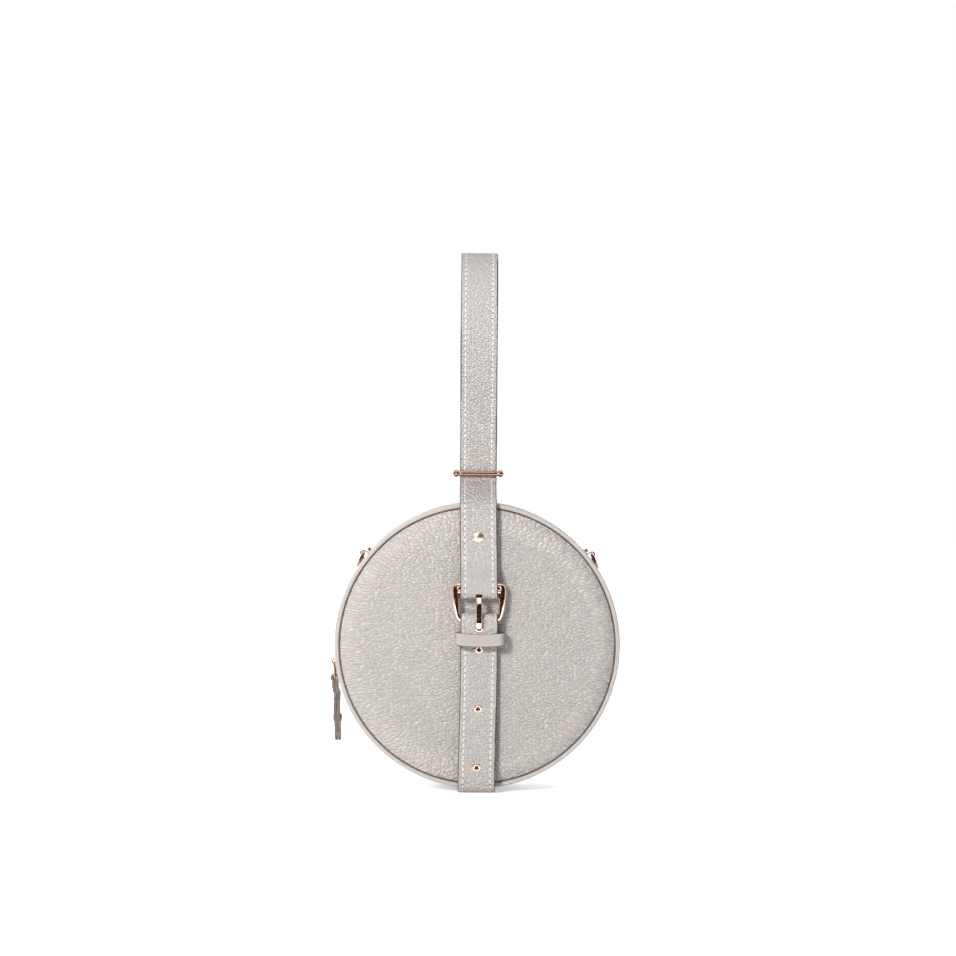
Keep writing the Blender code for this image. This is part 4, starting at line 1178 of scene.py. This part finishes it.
# The prong: a flat strip of metal rolled into an eye round the pivot bar, that comes out through
# the strap's slot, turns down over the lower strap and bends in at its tip.

prong_half_width = 0.0019
prong_half_thick = 0.0009
prong_edge = 0.0003
stem_start_height = 0.1334
stem_out_corner = (0.0402, 0.1306, 0.0020)
stem_down_corner = (0.1269, 0.0022)
stem_in_corner = (0.1143, 0.0030)
prong_stem_forward = 0.0426
prong_tip_forward = 0.0417
prong_tip_height = 0.1108
prong_tip_round = 0.0010
prong_taper = 0.92
prong_eye = (0.0018, 0.0028)
stem_step = 0.0004
stem_bend_angle = 0.10
least_end_share = 0.02


def ribbon(path, half_width, half_thick, origin, first, second, end_round, boxy, sides=28,
           taper=1.0):
    """Strip with rounded edges carried along a path in the plane of two directions, its width
    square to that plane. Its section is a squared-up ellipse, drawn in to a round at its ends."""
    length = run(path)
    _, left = headings(path)
    section = rounded_square(boxy, sides) * (half_width, half_thick)
    wide, thick = section.T
    shrink = np.ones(len(path))
    if end_round:
        near = np.clip(np.minimum(length, length[-1] - length) / end_round, least_end_share, 1)
        shrink = np.sqrt(1 - (1 - near) ** 2)
    share = (shrink * np.linspace(1, taper, len(path)))[:, None, None]
    thin = np.sqrt(share) if end_round else share
    middle = np.outer(path[:, 0], first) + np.outer(path[:, 1], second) + origin
    aside = np.outer(left[:, 0], first) + np.outer(left[:, 1], second)
    spots = (middle[:, None] + thin * thick[None, :, None] * aside[:, None]
             + share * wide[None, :, None] * np.cross(first, second))
    skin = laid_flat(np.linspace(0, length[-1], len(path)), run(section, closed=True))
    return skin_mesh(spots, skin, loop=True, capped=True)


eye_side = [(prong_eye[1] - prong_edge, prong_half_width),
            (prong_eye[1], prong_half_width - prong_edge)]
eye_profile = [(prong_eye[0], -prong_half_width), *((r, -z) for r, z in eye_side),
               *reversed(eye_side), (prong_eye[0], prong_half_width)]
dress("prong_eye", turned_piece(eye_profile, pivot_place, ACROSS), [rose_gold], "prong", [])
stem_corners = ((frame_forward + prong_half_thick, stem_start_height), stem_out_corner,
                (prong_stem_forward, *stem_down_corner), (prong_stem_forward, *stem_in_corner),
                (prong_tip_forward, prong_tip_height))
stem = ribbon(spaced(bent_path(stem_corners), stem_step, stem_bend_angle), prong_half_width,
              prong_half_thick, (buckle_middle, 0, 0), FORWARD, UP, prong_tip_round, 4.5,
              taper=prong_taper)
dress("prong_stem", stem, [rose_gold], "prong", ["buckle_prong"])


# The keeper: a plain leather band with painted edges, closed behind the lower strap, that holds
# the strap's end down. It has stretched and sags a little in the middle.

keeper_middle = 0.1039
keeper_half_high = 0.0043
keeper_half_wide = 0.0162
keeper_reach = (0.0293, 0.0416)
keeper_wall = 0.00070
keeper_bends = (0.0038, 0.0030)
keeper_step = 0.0006
keeper_bend_angle = 0.10
keeper_columns = 40
keeper_squareness = 5.0
keeper_skin = 0.02
keeper_sag = 0.0011
keeper_front = 0.034
keeper_front_rise = 0.005
keeper_shift = 0.0006
# Shares of the band's height painted dark; the lower one reaches further round, partly the painted
# edge and partly painted shadow under the band.
keeper_paint_and_shadow_shares = (-0.88, 0.95)
keeper_tone = (0.475, 0.436, 0.408)
# Its crease tone is partly the band's own colour and partly painted shade.
keeper_crease = (0.455, 0.417, 0.390)


def keeper_mesh():
    """Band section carried round a rectangle with bent corners in plan; its front droops as one
    less the square of its place across."""
    path = closed_bend(keeper_half_wide - keeper_wall, keeper_reach[0] + keeper_wall,
                       keeper_reach[1] - keeper_wall, *keeper_bends, keeper_step,
                       keeper_bend_angle)
    _, left = headings(path, closed=True)
    thick, tall = rounded_square(keeper_squareness, keeper_columns).T
    flat = path[:, None] - left[:, None] * (thick * keeper_wall)[None, :, None]
    front = np.clip((flat[..., 1] - keeper_front) / keeper_front_rise, 0, 1)
    droop = keeper_sag * (1 - (flat[..., 0] / keeper_half_wide) ** 2) * front
    high = keeper_middle + keeper_half_high * tall[None, :] - droop
    spots = np.stack([flat[..., 0] + lean(keeper_middle) + keeper_shift, -flat[..., 1], high], -1)
    skin = laid_flat(run(path, closed=True), np.linspace(0, keeper_skin, keeper_columns + 1))
    mesh = skin_mesh(spots, skin, ring=True, loop=True)
    # Dark top and bottom edges; the wider bottom one is partly painted shadow.
    level = (tall + np.roll(tall, -1)) / 2
    mark_faces(mesh, np.tile((level < keeper_paint_and_shadow_shares[0]) | (level > keeper_paint_and_shadow_shares[1]),
                             len(path)))
    return mesh


keeper_leather = leather_material("keeper_leather", keeper_tone, keeper_crease, 0.0009, 0.00003,
                                  0.45, 0.2)
dress("keeper_band", keeper_mesh(), [keeper_leather, edge_paint_and_shade], "keeper", ["keeper_loop"])


# Eyelets and the rivet: rolled rose gold eyelets set in the punched holes of the lower strap, and
# a round domed rivet through the upper one.

eyelet_outer = 0.0027
eyelet_bore = 0.0011
eyelet_wall = 0.0004
eyelet_high = 0.00055
eyelet_flange = 0.0002
eyelet_lap = 0.0001
rivet_height = 0.1716
rivet_base = 0.0345
rivet_radius = 0.0033
rivet_high = 0.0012
head_shares = (0.86, 0.42)
rivet_rim_shares = ((0.93, 0.40), (1.0, 0.25))
rivet_edge = 0.0001
rivet_shank = 0.0014
rivet_back = 0.0291


def dome(radius, foot, high, count=12, half_turns=0.5):
    """Profile of a rivet's head from its top down: a part of an ellipse round its foot."""
    turn = np.linspace(0, half_turns * math.pi, count)
    return np.stack([radius * np.sin(turn), foot + high * np.cos(turn)], -1)


def eyelet_profile(layer):
    """Closed outline: half a ring rolled over in front, a straight barrel and a flat flange."""
    face = layer + strap_half_thick
    back = layer - strap_half_thick
    turn = np.linspace(0, math.pi, 13)
    middle = (eyelet_outer + eyelet_bore) / 2
    half = (eyelet_outer - eyelet_bore) / 2
    roll = np.stack([middle + half * np.cos(turn), face + eyelet_high * np.sin(turn)], -1)
    barrel = [(eyelet_bore, back - eyelet_flange),
              (eyelet_outer - eyelet_wall, back - eyelet_flange),
              (eyelet_outer - eyelet_wall, back), (eyelet_bore + eyelet_wall, back),
              (eyelet_bore + eyelet_wall, face - eyelet_lap), (eyelet_outer, face - eyelet_lap)]
    return np.concatenate([roll, barrel])


for index, (height, layer) in enumerate(eyelet_places, 1):
    eyelet = turned_piece(eyelet_profile(layer), (lean(height), 0, height), FORWARD, 40)
    dress(f"rolled_eyelet_{index}", eyelet, [rose_gold], "bag_body", [f"eyelet_{index}"])
head = dome(rivet_radius * head_shares[0], rivet_base + rivet_high * head_shares[1],
            rivet_high * (1 - head_shares[1]))
rim = [(rivet_radius * out, rivet_base + rivet_high * up) for out, up in rivet_rim_shares]
shank = [(rivet_radius, rivet_base + rivet_edge), (rivet_shank, rivet_base),
         (rivet_shank, rivet_back), (0.0, rivet_back)]
rivet = turned_piece(np.concatenate([head, rim, shank]), (lean(rivet_height), 0, rivet_height),
                     FORWARD, 48)
dress("domed_rivet", rivet, [satin_gold], "bag_body", ["strap_rivet"])


# The rings: on each shoulder of the rear gusset a saddle of bent strip is held by two tall domed
# studs, and a D-shaped ring hangs from it, lying against the gusset.

ring_angles = {"left": 142.5, "right": 37.5}
ring_back = 0.0136
saddle_base = 0.0961
ring_bar = 0.0990
ring_rest = 0.0958
ring_gap = 0.0003
ring_wire = 0.0011
ring_half = 0.0049
ring_drop = 0.0095
ring_bend = 0.0013
ring_step = 0.0006
ring_bend_angle = 0.14
saddle_half_wide = 0.0030
saddle_half_thick = 0.00045
saddle_arch = 0.0014
saddle_foot = 0.0046
saddle_bend = 0.0005
saddle_flare = 0.0004
saddle_round = 0.0012
stud_radius = 0.0014
stud_high = 0.0019
stud_shank = (0.0008, 0.0007)
stud_head_in = 0.0013
stud_inner_radii = (0.0930, 0.0926)

arch_middle = saddle_arch + saddle_half_thick
foot_end = saddle_arch + 2 * saddle_half_thick + saddle_foot
foot_level = saddle_base + saddle_half_thick
foot = bent_path(((foot_end, foot_level), (arch_middle + saddle_flare, foot_level, saddle_bend),
                  (arch_middle, ring_bar)))
arch = arc((0, ring_bar), arch_middle, 0, 180, 25)
saddle_path = spaced(np.concatenate([foot, arch, foot[::-1] * [-1, 1]]), wire_step,
                     wire_bend_angle)
stud_foot = saddle_base + 2 * saddle_half_thick
knob = dome(stud_radius, stud_foot + stud_high / 2, stud_high / 2, 14, 0.80)
stud_profile = np.concatenate([knob, [
    (stud_shank[0], stud_foot), (stud_shank[1], stud_inner_radii[0]),
    (stud_head_in, stud_inner_radii[0]), (stud_head_in, stud_inner_radii[1]),
    (0, stud_inner_radii[1])]])
ring_side = bent_path(((0, 0), (-ring_half, 0, ring_bend), (-ring_half, ring_drop - ring_half)))
bow = arc((0, ring_drop - ring_half), ring_half, 180, 0, 40)
ring_path = spaced(np.concatenate([ring_side, bow, (ring_side * [-1, 1])[::-1]]), ring_step,
                   ring_bend_angle)[:-1]
hung_radius = ring_rest + ring_gap + ring_wire
hang_lean = math.acos((hung_radius ** 2 - ring_bar ** 2 - ring_drop ** 2)
                      / (2 * ring_bar * ring_drop))


def drum_directions(angle):
    """Outwards and onwards round the drum at an angle."""
    return (np.array([math.cos(angle), 0, math.sin(angle)]),
            np.array([-math.sin(angle), 0, math.cos(angle)]))


for side, degrees in ring_angles.items():
    angle = math.radians(degrees)
    out, along = drum_directions(angle)
    middle = np.array([0, ring_back, drum_height])
    saddle = ribbon(saddle_path, saddle_half_wide, saddle_half_thick, middle, along, out,
                    saddle_round, 7.0)
    dress(side + "_ring_saddle", saddle, [rose_gold], "bag_body", ["ring_saddle_" + side])
    for index, sign in ((1, -1), (2, 1)):
        place = middle + along * sign * (foot_end - saddle_foot / 2)
        dress(f"{side}_domed_stud_{index}", turned_piece(stud_profile, place, out, 24),
              [shaded_gold], "bag_body", [f"ring_stud_{side}_{index}"])
    hang, _ = drum_directions(angle + (hang_lean if side == "left" else -hang_lean))
    ring = wire(ring_path, ring_wire, middle + out * ring_bar, -FORWARD, hang, 12)
    dress(side + "_hanging_ring", ring, [shaded_gold], side + "_ring", ["ring_" + side])


# The zip slider: a cast body over the teeth with a bridge, a wire link through the bridge, and a
# pull tab of thick leather folded round the link, its raw edges left rough, closed by a rivet.

slider_angle = math.radians(188.0)
slider_half = (0.0042, 0.0048, 0.00062)
slider_plate_radii = (0.0965, 0.0917)
slider_neck_half = (0.0030, 0.00011, 0.0024)
slider_neck_radius = 0.0941
bridge_span = 0.00215
bridge_top = 0.00255
bridge_sink = 0.0006
bridge_half_wide = 0.0012
bridge_half_thick = 0.00045
pull_radius = 0.09816
link_wire = 0.00074
link_half = 0.0058
link_long = 0.0105
link_bend = 0.0012
link_lean = math.radians(3.8)
tab_long = 0.0432
tab_half_wide = 0.0048
tab_half_leaf = 0.00109
tab_end_round = 0.0022
tab_step = 0.0010
tab_bend_angle = 0.12
tab_rivet_drop = 0.0274
tab_drift = 0.0017
eye_gap = 0.0003
leaf_gap = 0.00004
leaf_start = 0.0045
drift_length = 0.006
curl_depth = 0.00055
curl_start = 0.004
curl_length = 0.0085
curl_free = 0.006
curl_rise = 0.01
eye_wrap = 61.2
cut_share = 0.90
frayed_share = 0.7
fray_depth = 0.00017
fray_length = 0.0011
tab_rivet_radius = 0.0034
tab_rivet_shares = (0.85, 0.95)
tab_rivet_shank = 0.0012
tab_rivet_face = 0.0001
tab_rivet_rim = 0.00028
tab_rivet_foot = 0.0003
tab_rivet_high = 0.0007
raw_tone = (0.168, 0.139, 0.124)


def raw_edge_material():
    """Cut leather edge left unpainted: fibrous and darker, with light fluff here and there."""
    material, tree, shader = new_material("raw_edge", {"Specular IOR Level": 0.2})
    place = tree.place()
    fluff = place.noise(1300.0, 5.0, 0.7)
    mixed = (fluff * 0.55 + place.noise(420.0) * 0.45).between(0.40, 0.68)
    give_finish(shader, mixed.blend(tint(raw_tone), tint(raw_tone, 1.9)), 0.95 - fluff * 0.1,
                fluff, 0.00025)
    return material


out, along = drum_directions(slider_angle)
drum_axis = np.array([0, 0, drum_height])


def slider_block(size, radius, *shape):
    """Pillow of a size, laid on the drum at the slider's angle and a radius."""
    return close_mesh(repeated(pillow(*size, *shape), (drum_axis + out * radius)[None],
                               along[None], out[None]))


for name, radius, nodes in (("slider_top_plate", slider_plate_radii[0], ["zip_slider"]),
                            ("slider_under_plate", slider_plate_radii[1], [])):
    plate = slider_block(slider_half, radius, 16, 24, 5.0)
    spots = rows_of(plate.vertices, "co")
    sagitta = radius - np.sqrt(radius ** 2 - ((spots - drum_axis) @ along) ** 2)
    plate.vertices.foreach_set("co", (spots - out * sagitta[:, None]).ravel())
    dress(name, plate, [rose_gold], "slider", nodes)
turn = np.linspace(0, math.pi, 31)
bridge_arch = np.stack([bridge_span * np.cos(turn), bridge_top * np.sin(turn)], -1)
bridge_path = np.concatenate([[(bridge_span, -bridge_sink)], bridge_arch,
                              [(-bridge_span, -bridge_sink)]])
bridge_foot = drum_axis + out * (slider_plate_radii[0] + slider_half[2])
bridge = ribbon(bridge_path, bridge_half_wide, bridge_half_thick, bridge_foot, along, out, 0.0,
                3.5, sides=20)
dress("slider_bridge", bridge, [shaded_gold], "slider", [])
dress("slider_neck", slider_block(slider_neck_half, slider_neck_radius, 8, 12, 6.0), [rose_gold],
      "slider", [])

pull_place = drum_axis + out * pull_radius
down = np.array([math.sin(link_lean), 0, -math.cos(link_lean)])
link_path = closed_bend(link_half, 0.0, link_long, link_bend, link_bend)
link = wire(link_path, link_wire, pull_place, -FORWARD, down, 12)
dress("pull_wire_link", link, [shaded_gold], "pull", ["pull_link"])

eye = pull_place + down * link_long
eye_path = arc((0, 0), link_wire + eye_gap + tab_half_leaf, 180 + eye_wrap, -eye_wrap, 40)
fall = np.linspace(leaf_start, tab_long, 40)
curl = (curl_depth * np.sin((fall - curl_start) / curl_length)
        * np.clip((fall - curl_free) / curl_rise, 0, 1))
curl = curl - tab_drift * np.clip((fall - leaf_start) / drift_length, 0, 1) ** 2
leaves = [np.stack([curl + side * (tab_half_leaf + leaf_gap), -fall], -1) for side in (-1, 1)]
tab_path = spaced(np.concatenate([leaves[0][::-1], eye_path, leaves[1]]), tab_step,
                  tab_bend_angle)
tab = ribbon(tab_path, tab_half_wide, tab_half_leaf, eye, -ACROSS, UP, tab_end_round, 7.0,
             sides=44)
mark_faces(tab, np.abs(rows_of(tab.polygons, "center")[:, 1]) > tab_half_wide * cut_share)
spots = rows_of(tab.vertices, "co")
rough = waves(spots[:, 2] + 0.3 * spots[:, 1], spots[:, 1] * 3 + spots[:, 0] * 2, 1.9, fray_length)
spots[:, 0] += fray_depth * rough * (np.abs(spots[:, 1]) > tab_half_wide * frayed_share)
tab.vertices.foreach_set("co", spots.ravel())
dress("pull_tab_leather", tab, [strap_leather, raw_edge_material()], "pull", ["pull_tab"])

face = 2 * tab_half_leaf + tab_rivet_face
cap = dome(tab_rivet_radius * tab_rivet_shares[0], face + tab_rivet_foot, tab_rivet_high, 10)
rim = [(tab_rivet_radius * tab_rivet_shares[1], face + tab_rivet_rim),
       (tab_rivet_radius, face + tab_rivet_face), (tab_rivet_radius, face), (tab_rivet_shank, face)]
half_rivet = np.concatenate([cap, rim])
tab_rivet = turned_piece(np.concatenate([half_rivet, half_rivet[::-1] * [1, -1]]),
                         eye + [tab_drift, 0, -tab_rivet_drop], ACROSS, 40)
dress("pull_tab_rivet", tab_rivet, [shaded_gold], "pull", ["pull_rivet"])
